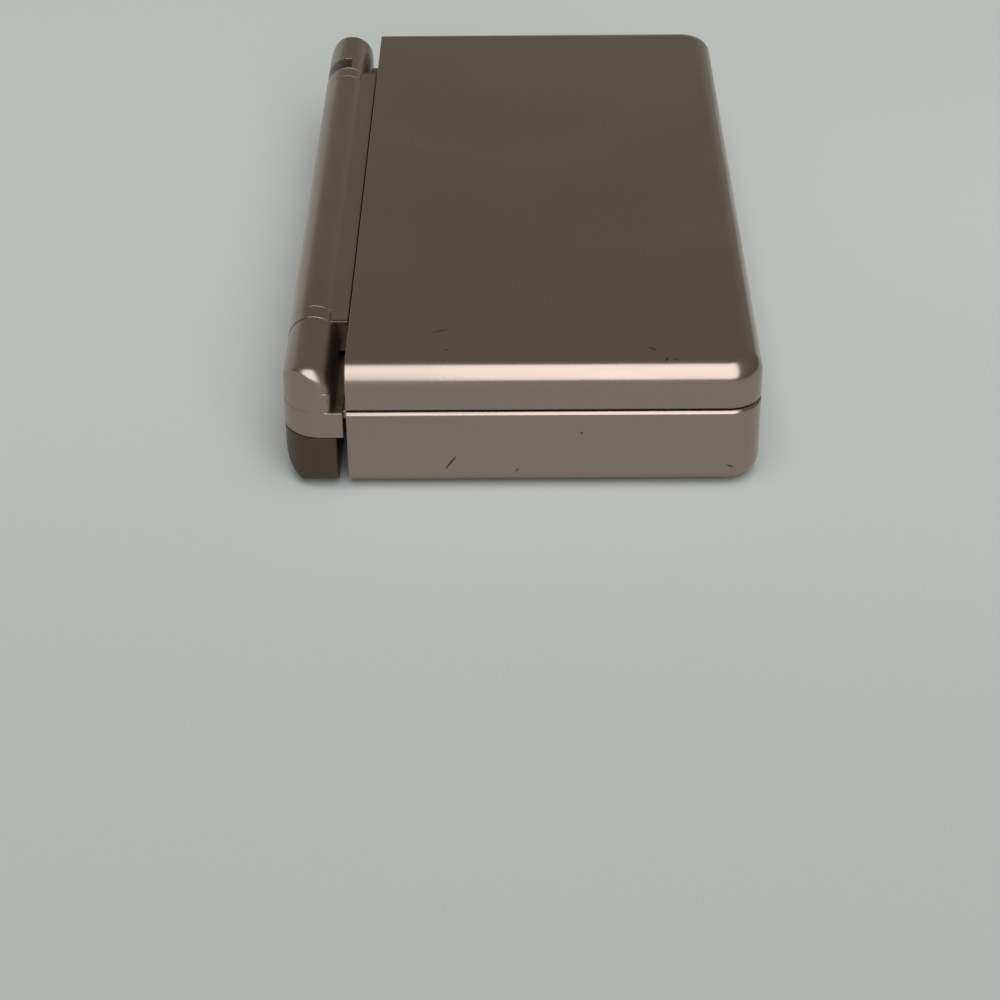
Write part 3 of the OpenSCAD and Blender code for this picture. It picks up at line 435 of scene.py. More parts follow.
@dataclass(frozen=True)
class HandledFinish(Finish):
    """A finish with a fine grain, and smears, hairlines and rubbed edges over it.

    The grain and the smears are in marks per metre, and the edge and the depth in metres. A shade
    is what Finish.shade takes: a factor on the colour, a lift and a cap.
    """

    grain: float = 4200.0
    flake: float = 0.15
    tone: Pair = (0.86, 1.14)
    depth: float = 0.000006
    strength: float = 0.6
    smear_scale: float = 45.0
    haze: float = 0.10
    haze_shade: tuple[float, ...] = (1.5, 0.012, 0.9)
    hairline: float = 0.0
    hairline_shade: tuple[float, ...] = (1.5,)
    edge: float = 0.00012
    wear: float = 0.25
    edge_shade: tuple[float, ...] = (1.8, 0.02, 0.9)
    rough_span: Pair = (-0.05, 0.07)

    def wire(self, tree: MaterialTree) -> None:
        """Joins the grain and the marks of use to the shader.

        Args:
            tree: the material's tree.
        """
        tone, height = self.pattern(tree)
        marks = tree.effect("handling_marks", Smear_Scale=self.smear_scale)
        color = tree.mix(tree.times(marks["Smear"], self.haze), self.tint(tree, tone, *self.tone),
                         self.hazed(tree, tone))
        if self.hairline:
            color = tree.mix(tree.times(marks["Hairline"], self.hairline), color,
                             self.shade(*self.hairline_shade))
        normal = None
        if self.wear:
            edge = tree.effect("edge_wear", Radius=self.edge, Amount=self.wear)
            color, normal = tree.mix(edge["Mask"], color, self.shade(*self.edge_shade)), edge["Normal"]
        tree.look(Base_Color=self.marked(tree, color), Roughness=self.sheen(tree, tone, marks["Smear"]))
        tree.bump(height, self.depth, self.strength, normal)

    def pattern(self, tree: MaterialTree) -> tuple[Socket, Socket]:
        """The tone and the height of the surface's own grain."""
        fine = tree.effect("surface_grain", Scale=self.grain, Flake=self.flake)
        return fine["Tone"], fine["Height"]

    def hazed(self, tree: MaterialTree, tone: Socket) -> Socket | Color:
        """The colour under a smear."""
        return self.shade(*self.haze_shade)

    def marked(self, tree: MaterialTree, color: Socket) -> Socket:
        """The colour with the marks of this finish alone."""
        return color

    def sheen(self, tree: MaterialTree, tone: Socket, smear: Socket) -> Socket:
        """The roughness, which varies with the smears."""
        return self.rough(tree, smear, *self.rough_span)


@dataclass(frozen=True)
class MetallicPaint(HandledFinish):
    """Satin metallic paint on the outer shells: flakes, smears, rubbed edges and scratches."""

    grain: float = 5200.0
    flake: float = 0.75
    tone: Pair = (0.98, 1.025)
    depth: float = 0.0000006
    strength: float = 0.12
    smear_scale: float = 22.0
    haze: float = 0.16
    hairline: float = 0.15
    edge: float = 0.00022
    wear: float = 0.35
    edge_shade: tuple[float, ...] = (1.55,)
    rough_span: Pair = (-0.03, 0.05)
    flake_rough: float = 0.02
    dust: Color = (0.30, 0.28, 0.255)
    dust_tone: Pair = (0.90, 0.95)
    scratch_color: Color = (0.035, 0.03, 0.027)
    scratch_share: float = 0.8
    grime_color: Color = (0.016, 0.011, 0.008)
    scratches: tuple[Scratch, ...] = ()
    grime: tuple[ShadeAndPrintBox, ...] = ()

    def hazed(self, tree: MaterialTree, tone: Socket) -> Socket | Color:
        """Dust that the paint's flakes show through."""
        return self.tint(tree, tone, *self.dust_tone, self.dust)

    def marked(self, tree: MaterialTree, color: Socket) -> Socket:
        """The colour with its scratches, its painted shade in the gaps and its black print.

        Args:
            tree: the material's tree.
            color: the colour so far.

        Returns:
            The marked colour's socket.
        """
        for scratch in self.scratches:
            mark = tree.effect("scratch_mark", Centre=scratch.centre, Along=scratch.along,
                               Length=scratch.length, Width=scratch.width)
            color = tree.mix(tree.times(mark["Mask"], self.scratch_share), color, self.scratch_color)
        # painted shade in the gaps between parts, and the black print, darken the colour here
        for spot in self.grime:
            zone = tree.effect("grime_zone", Centre=spot.centre, Half=spot.half, Softness=spot.softness)
            color = tree.mix(tree.times(zone["Mask"], spot.amount), color, self.grime_color)
        return color

    def sheen(self, tree: MaterialTree, tone: Socket, smear: Socket) -> Socket:
        """The roughness, which varies with the smears and a little with the flakes."""
        return tree.math("ADD", super().sheen(tree, tone, smear), tree.times(tone, self.flake_rough))


@dataclass(frozen=True)
class MouldedPlastic(HandledFinish):
    """Moulded plastic with a fine spark-eroded grain and slightly rubbed edges."""


@dataclass(frozen=True)
class TintedPlastic(HandledFinish):
    """Deep brown tinted plastic, glossy, with darker clouds in its body under a clear skin."""

    grain: float = 1500.0
    flake: float = 0.1
    tone: Pair = (0.9, 1.1)
    depth: float = 0.000002
    strength: float = 0.4
    smear_scale: float = 60.0
    haze: float = 0.25
    hairline: float = 0.35
    hairline_shade: tuple[float, ...] = (2.2,)
    edge: float = 0.00025
    wear: float = 0.3
    edge_shade: tuple[float, ...] = (1.7,)
    rough_span: Pair = (-0.03, 0.09)
    cloud: Color = (0.01, 0.008, 0.006)

    def hazed(self, tree: MaterialTree, tone: Socket) -> Socket | Color:
        """The dark clouds."""
        return self.cloud


@dataclass(frozen=True)
class Rubber(HandledFinish):
    """Rubber or silicone: matt, with a soft mottle and dust that settles in it."""

    grain: float = 2600.0
    flake: float = 0.05
    tone: Pair = (0.8, 1.2)
    depth: float = 0.00001
    smear_scale: float = 120.0
    haze: float = 0.25
    haze_shade: tuple[float, ...] = (1.6, 0.05, 0.9)
    wear: float = 0.0
    rough_span: Pair = (-0.06, 0.08)

    def sheen(self, tree: MaterialTree, tone: Socket, smear: Socket) -> Socket:
        """The roughness, which varies with the mottle."""
        return self.rough(tree, tone, *self.rough_span)


@dataclass(frozen=True)
class Metal(HandledFinish):
    """Stamped or turned metal: drawn lines along one axis, with tarnish in patches."""

    tone: Pair = (0.8, 1.15)
    depth: float = 0.000003
    strength: float = 0.5
    smear_scale: float = 300.0
    haze: float = 0.3
    haze_shade: tuple[float, ...] = (0.62,)
    edge: float = 0.00008
    wear: float = 0.5
    edge_shade: tuple[float, ...] = (1.3,)
    rough_span: Pair = (-0.07, 0.09)
    line_scale: Point = (900.0, 9000.0, 9000.0)

    def pattern(self, tree: MaterialTree) -> tuple[Socket, Socket]:
        """The drawn lines, as the tone and as the height.

        Args:
            tree: the material's tree.

        Returns:
            The lines' socket, twice.
        """
        turn = tree.node("Mapping", {"Vector": tree.place(), "Scale": self.line_scale})
        lines = tree.noise(turn.outputs[0], 1.0, 4.0)
        return lines, lines

    def sheen(self, tree: MaterialTree, tone: Socket, smear: Socket) -> Socket:
        """The roughness, which varies with the drawn lines."""
        return self.rough(tree, tone, *self.rough_span, 0.3, 0.7)


@dataclass(frozen=True)
class Glass(Finish):
    """A clear or smoked window: see-through, with faint finger marks on its face."""

    marks: float = 0.12
    gloss: float = 0.5

    def wire(self, tree: MaterialTree) -> None:
        """Joins finger marks to the roughness and lets light through.

        Args:
            tree: the material's tree.
        """
        smear = tree.effect("handling_marks", Smear_Scale=70.0)["Smear"]
        tree.look(Transmission_Weight=1.0, Specular_IOR_Level=self.gloss,
                  Base_Color=self.tint(tree, smear, 1.0, 0.93),
                  Roughness=self.rough(tree, smear, 0.0, self.marks))


@dataclass(frozen=True)
class DisplayPanel(Finish):
    """A switched-off liquid crystal panel: near black, with its columns of cells and dark border."""

    pitch: float = 0.00024
    centre: Point = (0.0, 0.0, 0.0)
    half: Pair = (0.031, 0.0233)
    border: Color = (0.004, 0.004, 0.005)
    cell_share: float = 0.5

    def wire(self, tree: MaterialTree) -> None:
        """Joins the cell pattern and the border to the shader.

        Args:
            tree: the material's tree.
        """
        across, along, _ = tree.axes(tree.vector("SUBTRACT", tree.place(), self.centre))
        grid = tree.times(tree.span(tree.wave(across, self.pitch / 3), 0.1, 0.5),
                          tree.span(tree.wave(along, self.pitch), 0.1, 0.5))
        inside = tree.times(*(tree.math("LESS_THAN", tree.math("ABSOLUTE", part), half)
                              for part, half in zip((across, along), self.half)))
        smear = tree.effect("handling_marks", Smear_Scale=40.0)["Smear"]
        lit = tree.mix(tree.times(grid, self.cell_share), self.tint(tree, smear, 0.9, 1.2),
                       self.shade(1.7))
        tree.look(Base_Color=tree.mix(inside, self.border, lit),
                  Roughness=self.rough(tree, grid, 0.0, 0.12))


@dataclass(frozen=True)
class CircuitBoard(Finish):
    """Solder mask over copper: traces along two axes, pads in rows and a glass-cloth weave."""

    copper: Color = (0.62, 0.42, 0.16)
    trace_share: float = 0.55
    pad_share: float = 0.8
    pad_size: float = 0.2

    def wire(self, tree: MaterialTree) -> None:
        """Joins traces, pads and weave to the shader.

        Args:
            tree: the material's tree.
        """
        place = tree.place()
        traces = tree.node("TexBrick", {"Vector": place, "Scale": 260.0, "Mortar Size": 0.06,
                                        "Brick Width": 1.9, "Row Height": 0.28}).outputs["Fac"]
        pads = tree.node("TexVoronoi", {"Vector": place, "Scale": 420.0, "Randomness": 0.35},
                         feature="F1", distance="CHEBYCHEV")
        pad = tree.math("LESS_THAN", pads.outputs["Distance"], self.pad_size)
        fine = tree.effect("surface_grain", Scale=3000.0, Flake=0.2)
        color = tree.mix(tree.times(traces, self.trace_share),
                         self.tint(tree, fine["Tone"], 0.85, 1.15), self.shade(2.3))
        bare = tree.times(pad, self.pad_share)
        tree.look(Base_Color=tree.mix(bare, color, self.copper), Metallic=bare)
        tree.bump(traces, 0.00003, 0.5)


@dataclass(frozen=True)
class RibbonFilm(Finish):
    """Flexible film over copper: parallel conductors under an amber skin."""

    pitch: float = 0.0005
    conductor: Color = (0.45, 0.22, 0.07)
    conductor_share: float = 0.55

    def wire(self, tree: MaterialTree) -> None:
        """Joins the conductors to the shader.

        Args:
            tree: the material's tree.
        """
        across = tree.axes(tree.place())[1]
        stripe = tree.span(tree.math("SINE", tree.times(across, 2 * math.pi / self.pitch)), -0.2, 0.3)
        fine = tree.effect("surface_grain", Scale=2500.0, Flake=0.1)
        tree.look(Base_Color=tree.mix(tree.times(stripe, self.conductor_share),
                                      self.tint(tree, fine["Tone"], 0.85, 1.15), self.conductor))
        tree.bump(stripe, 0.00002, 0.5)


@dataclass(frozen=True)
class MeshCloth(Finish):
    """Fine acoustic cloth: crossed threads with dark gaps."""

    pitch: float = 0.00022
    gap: Color = (0.003, 0.003, 0.003)

    def wire(self, tree: MaterialTree) -> None:
        """Joins the weave to the shader.

        Args:
            tree: the material's tree.
        """
        across, along, _ = tree.axes(tree.place())
        weave = tree.math("MAXIMUM", tree.wave(across, self.pitch), tree.wave(along, self.pitch))
        fine = tree.effect("surface_grain", Scale=5000.0, Flake=0.1)
        tree.look(Base_Color=tree.mix(tree.span(weave, 0.6, 0.95), self.gap,
                                      self.tint(tree, fine["Tone"], 0.8, 1.3)))
        tree.bump(weave, 0.00004, 0.8)


class Slot(Enum):
    """The record's material slots."""

    SHELL = "shell"
    INNER = "inner_shell"
    COLLAR = "collar"
    TINTED = "tinted_plastic"
    BUTTON = "button_plastic"
    SMOKED = "smoked_window"
    SCREEN = "screen"
    DISPLAY = "display"
    RUBBER = "rubber"
    SILICONE = "silicone"
    BLACK = "black_plastic"
    BOARD = "board"
    MODULE = "module"
    BATTERY = "battery"
    SHEET = "sheet_metal"
    SCREW = "screw"
    PIN = "pin"
    RIBBON = "flex_cable"


LID_SCRATCHES = (
    Scratch((-0.05469, 0.01277, 0.0215), (0.48, -0.88, 0.0), 0.0028, 0.00018),
    Scratch((-0.06067, 0.01155, 0.0215), (0.56, -0.83, 0.0), 0.0007, 0.00022),
    Scratch((-0.06056, -0.01999, 0.0215), (-0.65, -0.76, 0.0), 0.0017, 0.00021),
    Scratch((-0.06400, -0.02192, 0.0215), (0.85, -0.52, 0.0), 0.0018, 0.00018),
    Scratch((-0.06420, -0.02520, 0.0215), (-0.16, -0.99, 0.0), 0.0041, 0.00006),
    Scratch((-0.06620, -0.03277, 0.0206), (-0.40, -0.48, -0.78), 0.0006, 0.00019),
    Scratch((0.0212, -0.0088, 0.0215), (0.97, 0.22, 0.0), 0.0034, 0.00008),
    Scratch((0.0381, 0.0124, 0.0215), (0.45, -0.89, 0.0), 0.0022, 0.00008),
)
BASE_SCRATCHES = (
    Scratch((-0.0665, 0.01108, 0.00482), (0.0, -0.59, 0.81), 0.0027, 0.00019),
    Scratch((-0.0665, 0.00089, 0.00335), (0.0, -0.58, 0.81), 0.0009, 0.00016),
    Scratch((-0.0665, -0.03233, 0.00383), (0.0, -0.91, -0.43), 0.0015, 0.00018),
    Scratch((-0.0665, -0.00913, 0.01005), (0.0, -0.81, 0.59), 0.0005, 0.00018),
)
# painted shade in the gap beside the knuckles, where the parts shade each other: on their inner side, the
# ledge below and the neck's ends
GAP_PAINTED_SHADE = tuple(ShadeAndPrintBox((side * 0.0573, 0.0287, 0.0172), (0.0088, 0.0013, 0.0036), 0.0006)
                  for side in (-1, 1))

PAINT = (0.335, 0.251, 0.229)
BLACK = (0.012, 0.0115, 0.011)
GOLD = (0.78, 0.55, 0.24)


# which finish each material slot gets
FINISHES: dict[Slot, Finish] = {
    Slot.SHELL: MetallicPaint("satin_bronze_paint", PAINT, 0.25, 0.9, 0.12),
    Slot.INNER: MetallicPaint("satin_inner_paint", PAINT, 0.26, 0.9, 0.08, wear=0.25),
    Slot.COLLAR: MetallicPaint("hinge_collar_paint", PAINT, 0.25, 0.9, 0.12, wear=0.2),
    Slot.TINTED: TintedPlastic("tinted_brown_plastic", (0.050, 0.027, 0.013), 0.34),
    Slot.BUTTON: MouldedPlastic("button_cap", (0.055, 0.047, 0.042), 0.34, coat=0.15, grain=5200.0,
                                depth=0.000003),
    Slot.SMOKED: Glass("smoked_lens", (0.10, 0.035, 0.035), 0.22, gloss=0.2),
    Slot.SCREEN: Glass("window_glass", (0.86, 0.87, 0.87), 0.03, marks=0.08),
    Slot.DISPLAY: DisplayPanel("display_panel", (0.013, 0.014, 0.016), 0.16, coat=0.4),
    Slot.RUBBER: Rubber("foot_rubber", (0.030, 0.029, 0.028), 0.78),
    Slot.SILICONE: Rubber("contact_silicone", (0.33, 0.34, 0.34), 0.6, haze=0.1),
    Slot.BLACK: MouldedPlastic("black_moulding", BLACK, 0.46),
    Slot.BOARD: CircuitBoard("circuit_board", (0.012, 0.075, 0.036), 0.42, coat=0.3),
    Slot.MODULE: Metal("shield_can", (0.56, 0.56, 0.54), 0.34, 1.0),
    Slot.BATTERY: MouldedPlastic("battery_wrap", (0.16, 0.17, 0.18), 0.4, depth=0.000003),
    Slot.SHEET: Metal("stamped_steel", (0.50, 0.50, 0.49), 0.32, 1.0),
    Slot.SCREW: Metal("screw_steel", (0.33, 0.32, 0.31), 0.32, 1.0, line_scale=(6000, 6000, 900)),
    Slot.PIN: Metal("ground_pin", (0.58, 0.57, 0.55), 0.22, 1.0),
    Slot.RIBBON: RibbonFilm("ribbon_film", (0.26, 0.13, 0.03), 0.32, coat=0.4),
}


def like(slot: Slot, name: str, **changes: object) -> Finish:
    """A slot's finish under another name and with some changes."""
    return replace(FINISHES[slot], name=name, **changes)


class Wardrobe:
    """Builds each finish once and puts it on CAD nodes and on new pieces."""

    sharp_over = math.radians(28.0)
    weld_reach = 0.000002

    def __init__(self, frame: dict[str, object]) -> None:
        """Builds the effects and the finishes.
        """
        self.frame = frame
        self.effects = EffectLibrary()
        self.materials = {slot: finish.build(self.effects) for slot, finish in FINISHES.items()}
        self.edges = self._edge_group()

    def dress(self, node: str, finish: Finish | Slot) -> None:
        """Gives a CAD node its finish, and smooths its fillets without moving a vertex.

        Args:
            node: the node's name.
            finish: a slot's own finish, or another finish for this node alone.
        """
        made = self.frame["nodes"][node]
        material = self.materials[finish] if isinstance(finish, Slot) else finish.build(self.effects)
        made.data.materials.clear()
        made.data.materials.append(material)
        made.data.shade_smooth()
        made.modifiers.new("weld", "WELD").merge_threshold = self.weld_reach
        made.modifiers.new("edges", "NODES").node_group = self.edges
        weighted = made.modifiers.new("weighted", "WEIGHTED_NORMAL")
        weighted.keep_sharp = True
        weighted.weight = 60
        log.info("dressed %s in %s", node, material.name)

    def _edge_group(self) -> bpy.types.NodeTree:
        """Builds the nodes that keep the sharp edges of a welded mesh sharp.

        Returns:
            The node group.
        """
        group = bpy.data.node_groups.new("sharp_edges", "GeometryNodeTree")
        for way in ("INPUT", "OUTPUT"):
            group.interface.new_socket("Mesh", in_out=way, socket_type="NodeSocketGeometry")
        start, end, edge, under, smooth = (group.nodes.new(kind) for kind in (
            "NodeGroupInput", "NodeGroupOutput", "GeometryNodeInputMeshEdgeAngle",
            "FunctionNodeCompare", "GeometryNodeSetShadeSmooth"))
        under.operation = "LESS_THAN"
        under.inputs[1].default_value = self.sharp_over
        smooth.domain = "EDGE"
        for source, target in ((start.outputs[0], smooth.inputs["Geometry"]),
                               (edge.outputs["Unsigned Angle"], under.inputs[0]),
                               (under.outputs[0], smooth.inputs["Shade Smooth"]),
                               (smooth.outputs[0], end.inputs[0])):
            group.links.new(source, target)
        return group

    def finish_piece(self, made: bpy.types.Object, body: str, slot: Slot,
                     finish: Finish | None = None) -> None:
        """Gives a new piece its finish and its body.

        Args:
            made: the piece.
            body: the CAD body that it rides on.
            slot: the record's slot that it takes its finish from.
            finish: a finish of its own, where the slot's won't do.
        """
        material = finish.build(self.effects) if finish else self.materials[slot]
        made.data.materials.append(material)
        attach(made, body)
        log.info("built %s on %s in %s", made.name, body, material.name)


# ---- studio

@dataclass
class Studio:
    """The camera at the photograph's angle, a pale table, one large soft lamp and a pale surround."""

    camera_at: Point = (-0.38981, 0.0004386, 0.207739)
    yaw: float = 0.00959
    pitch: float = 0.57578
    roll: float = -0.01017
    focal_px: float = 2465.79
    picture_px: float = 1000.0
    table: float = 6.0
    table_color: Color = (0.545, 0.548, 0.563)
    table_painted_light_span: Pair = (-0.22, 0.06)
    table_painted_shade_near: float = 0.86
    table_painted_light_far: float = 1.12
    horizon: Color = (0.49, 0.515, 0.50)
    shade: Color = (0.10, 0.098, 0.088)
    shade_side: Point = (-0.2, -0.98, 0.0)
    ceiling: Color = (0.176, 0.169, 0.134)
    ceiling_rise: Pair = (0.12, 0.28)
    lamp_elevation: float = math.radians(53.0)
    lamp_side: float = math.radians(12.0)
    lamp_distance: float = 1.9
    lamp_width: float = 1.6
    lamp_length: float = 3.3
    lamp_power: float = 50.0
    lamp_color: Color = (0.94, 1.0, 0.96)

    def camera(self) -> None:
        """Places the camera, fitted to the photograph."""
        forward = Vector((math.cos(self.pitch) * math.cos(self.yaw),
                          math.cos(self.pitch) * math.sin(self.yaw), -math.sin(self.pitch)))
        level = forward.cross(Vector((0, 0, 1))).normalized()
        upward = level.cross(forward)
        turn_c, turn_s = math.cos(self.roll), math.sin(self.roll)
        data = bpy.data.cameras.new("photo_camera")
        data.sensor_fit = "HORIZONTAL"
        data.sensor_width = 36.0
        data.lens = self.focal_px / self.picture_px * data.sensor_width
        data.clip_start, data.clip_end = 0.01, 50.0
        made = add_object("photo_camera", data)
        made.matrix_world = standing(Vector(self.camera_at), level * turn_c + upward * turn_s,
                                     upward * turn_c - level * turn_s, -forward)
        bpy.context.scene.camera = made

    def floor(self) -> None:
        """Lays the table under the console, with painted shade where it is near and painted light where it is
        far, against the lamp's falloff.
        """
        mesh = bmesh.new()
        bmesh.ops.create_grid(mesh, x_segments=12, y_segments=12, size=self.table / 2)
        data = bpy.data.meshes.new("pale_table")
        mesh.to_mesh(data)
        mesh.free()
        made = add_object("pale_table", data)
        tree = MaterialTree("pale_table_top")
        place = tree.place()
        # painted shade near the camera and painted light far off, against the lamp's falloff over the table
        painted_light = tree.span(tree.axes(place)[0], *self.table_painted_light_span, self.table_painted_shade_near, self.table_painted_light_far)
        cloud = tree.span(tree.noise(place, 2.2, 3.0), 0.3, 0.7, 0.985, 1.015)
        color = tree.node("VectorMath", {0: self.table_color, "Scale": tree.times(painted_light, cloud)},
                          operation="SCALE")
        tree.look(Roughness=0.85, Specular_IOR_Level=0.2, Base_Color=color.outputs["Vector"])
        data.materials.append(tree.material)

    def surround(self) -> None:
        """Sets a world with a pale horizon, dim on the photographer's side, and mid grey overhead."""
        world = bpy.data.worlds.new("studio_surround")
        bpy.context.scene.world = world
        world.use_nodes = True
        tree = NodeTree(world.node_tree)
        ways = tree.node("TexCoord").outputs["Generated"]
        toward = tree.vector("DOT_PRODUCT", ways, self.shade_side)
        belt = tree.mix(tree.span(toward, 0.0, 0.4), self.horizon, self.shade)
        color = tree.mix(tree.span(tree.axes(ways)[2], *self.ceiling_rise), belt, self.ceiling)
        glow = tree.node("Background", {0: color})
        tree.node("OutputWorld", {"Surface": glow.outputs[0]})

    def lamp(self) -> None:
        """Hangs the soft lamp above the console, leaning to the camera's side."""
        data = bpy.data.lights.new("soft_lamp", "AREA")
        data.shape = "RECTANGLE"
        data.size, data.size_y = self.lamp_width, self.lamp_length
        data.energy = self.lamp_power
        data.color = self.lamp_color
        level = math.cos(self.lamp_elevation)
        away = Vector((-level * math.cos(self.lamp_side), -level * math.sin(self.lamp_side),
                       math.sin(self.lamp_elevation)))
        across = Vector((0.0, 0.0, 1.0)).cross(away).normalized()
        made = add_object("soft_lamp", data)
        made.matrix_world = standing(away * self.lamp_distance, across, away.cross(across), away)

    def build(self) -> None:
        """Builds all of the studio, the camera first."""
        self.camera()
        self.floor()
        self.surround()
        self.lamp()
        bpy.context.scene.view_settings.view_transform = "Standard"
        log.info("studio: camera, table, surround and one soft lamp")


# ---- sub-assemblies

class Maker:
    """Mesh code shared by the sub-assemblies; sizes come in millimetres."""

    sharp_over = math.radians(35.0)

    def __init__(self, name: str) -> None:
        """Opens an empty mesh for a piece of this name."""
        self.name = name
        self.mesh = bmesh.new()

    def _skin(self, rows: list[list[bmesh.types.BMVert]], after: list[list[bmesh.types.BMVert]]) -> None:
        """Fills the bands between rows of points that each close on themselves.

        Args:
            rows: the rows.
            after: for each row, the next one.
        """
        for here, there in zip(rows, after):
            for index in range(len(here)):
                ahead = (index + 1) % len(here)
                self.mesh.faces.new((here[index], here[ahead], there[ahead], there[index]))

    def ring(self, centre: Point, axis: str, profile: list[Pair], steps: int = 64) -> None:
        """Turns a closed profile about an axis.

        Args:
            centre: a point on the axis.
            axis: Y or Z.
            profile: radius and height pairs along the section.
            steps: how many segments go round.
        """
        rows = []
        for step in range(steps):
            turn = 2 * math.pi * step / steps
            row = []
            for radius, height in profile:
                a, b = radius * math.cos(turn), radius * math.sin(turn)
                spot = (b, height, a) if axis == "Y" else (a, b, height)
                row.append(self.mesh.verts.new([(c + s) * MM for c, s in zip(centre, spot)]))
            rows.append(row)
        self._skin(rows, rows[1:] + rows[:1])

    def leaf(self, path: list[Point], width: float, thick: float) -> None:
        """Sweeps a thin strip of metal along a path of points, its width along X.

        Args:
            path: the middle line's points.
            width: the strip's width.
            thick: the strip's thickness.
        """
        rows = []
        wide = Vector((width / 2, 0, 0))
        for index, point in enumerate(path):
            ahead = Vector(path[min(index + 1, len(path) - 1)]) - Vector(path[max(index - 1, 0)])
            face = ahead.cross(wide).normalized() * (thick / 2)
            rows.append([self.mesh.verts.new((Vector(point) + wide * a + face * b) * MM)
                         for a, b in ((1, 1), (-1, 1), (-1, -1), (1, -1))])
        self._skin(rows[:-1], rows[1:])
        self.mesh.faces.new(rows[0][::-1])
        self.mesh.faces.new(rows[-1])

    def leaf_row(self, first: float, pitch: float, count: int, path: list[Pair], size: Pair) -> None:
        """Adds equal leaves side by side along X.

        Args:
            first: X of the first leaf.
            pitch: from one leaf to the next.
            count: how many there are.
            path: the middle line's Y and Z.
            size: a leaf's width and thickness.
        """
        for index in range(count):
            self.leaf([(first + index * pitch, y, z) for y, z in path], *size)

    def slab(self, low: Point, high: Point, round_off: float) -> None:
        """Adds a block with rounded edges.

        Args:
            low: its lowest corner.
            high: its highest corner.
            round_off: the edges' radius.
        """
        made = bmesh.ops.create_cube(self.mesh, size=1.0)["verts"]
        size = Vector(high) - Vector(low)
        middle = (Vector(high) + Vector(low)) / 2
        for vert in made:
            vert.co = Vector([(m + c * s) * MM for m, c, s in zip(middle, vert.co, size)])
        edges = list({edge for vert in made for edge in vert.link_edges})
        bmesh.ops.bevel(self.mesh, geom=edges, offset=round_off * MM, segments=2, affect="EDGES",
                        profile=0.5)

    def done(self) -> bpy.types.Object:
        """Closes the mesh into an object.

        Returns:
            The new object, linked to the scene.
        """
        bmesh.ops.recalc_face_normals(self.mesh, faces=self.mesh.faces)
        data = bpy.data.meshes.new(self.name)
        self.mesh.to_mesh(data)
        self.mesh.free()
        made = add_object(self.name, data)
        data.shade_smooth()
        data.set_sharp_from_angle(angle=self.sharp_over)
        return made


@dataclass
class Assembly:
    """What the sub-assemblies share: the wardrobe that dresses them."""

    wardrobe: Wardrobe

    def dress(self, node: str, finish: Finish | Slot) -> None:
        """Gives one CAD node its slot's finish or one of its own."""
        self.wardrobe.dress(node, finish)

    def dress_plain(self, slots: dict[Slot, tuple[str, ...]]) -> None:
        """Gives CAD nodes their slot's own finish.

        Args:
            slots: the nodes' names by slot.
        """
        for slot, nodes in slots.items():
            for node in nodes:
                self.dress(node, slot)


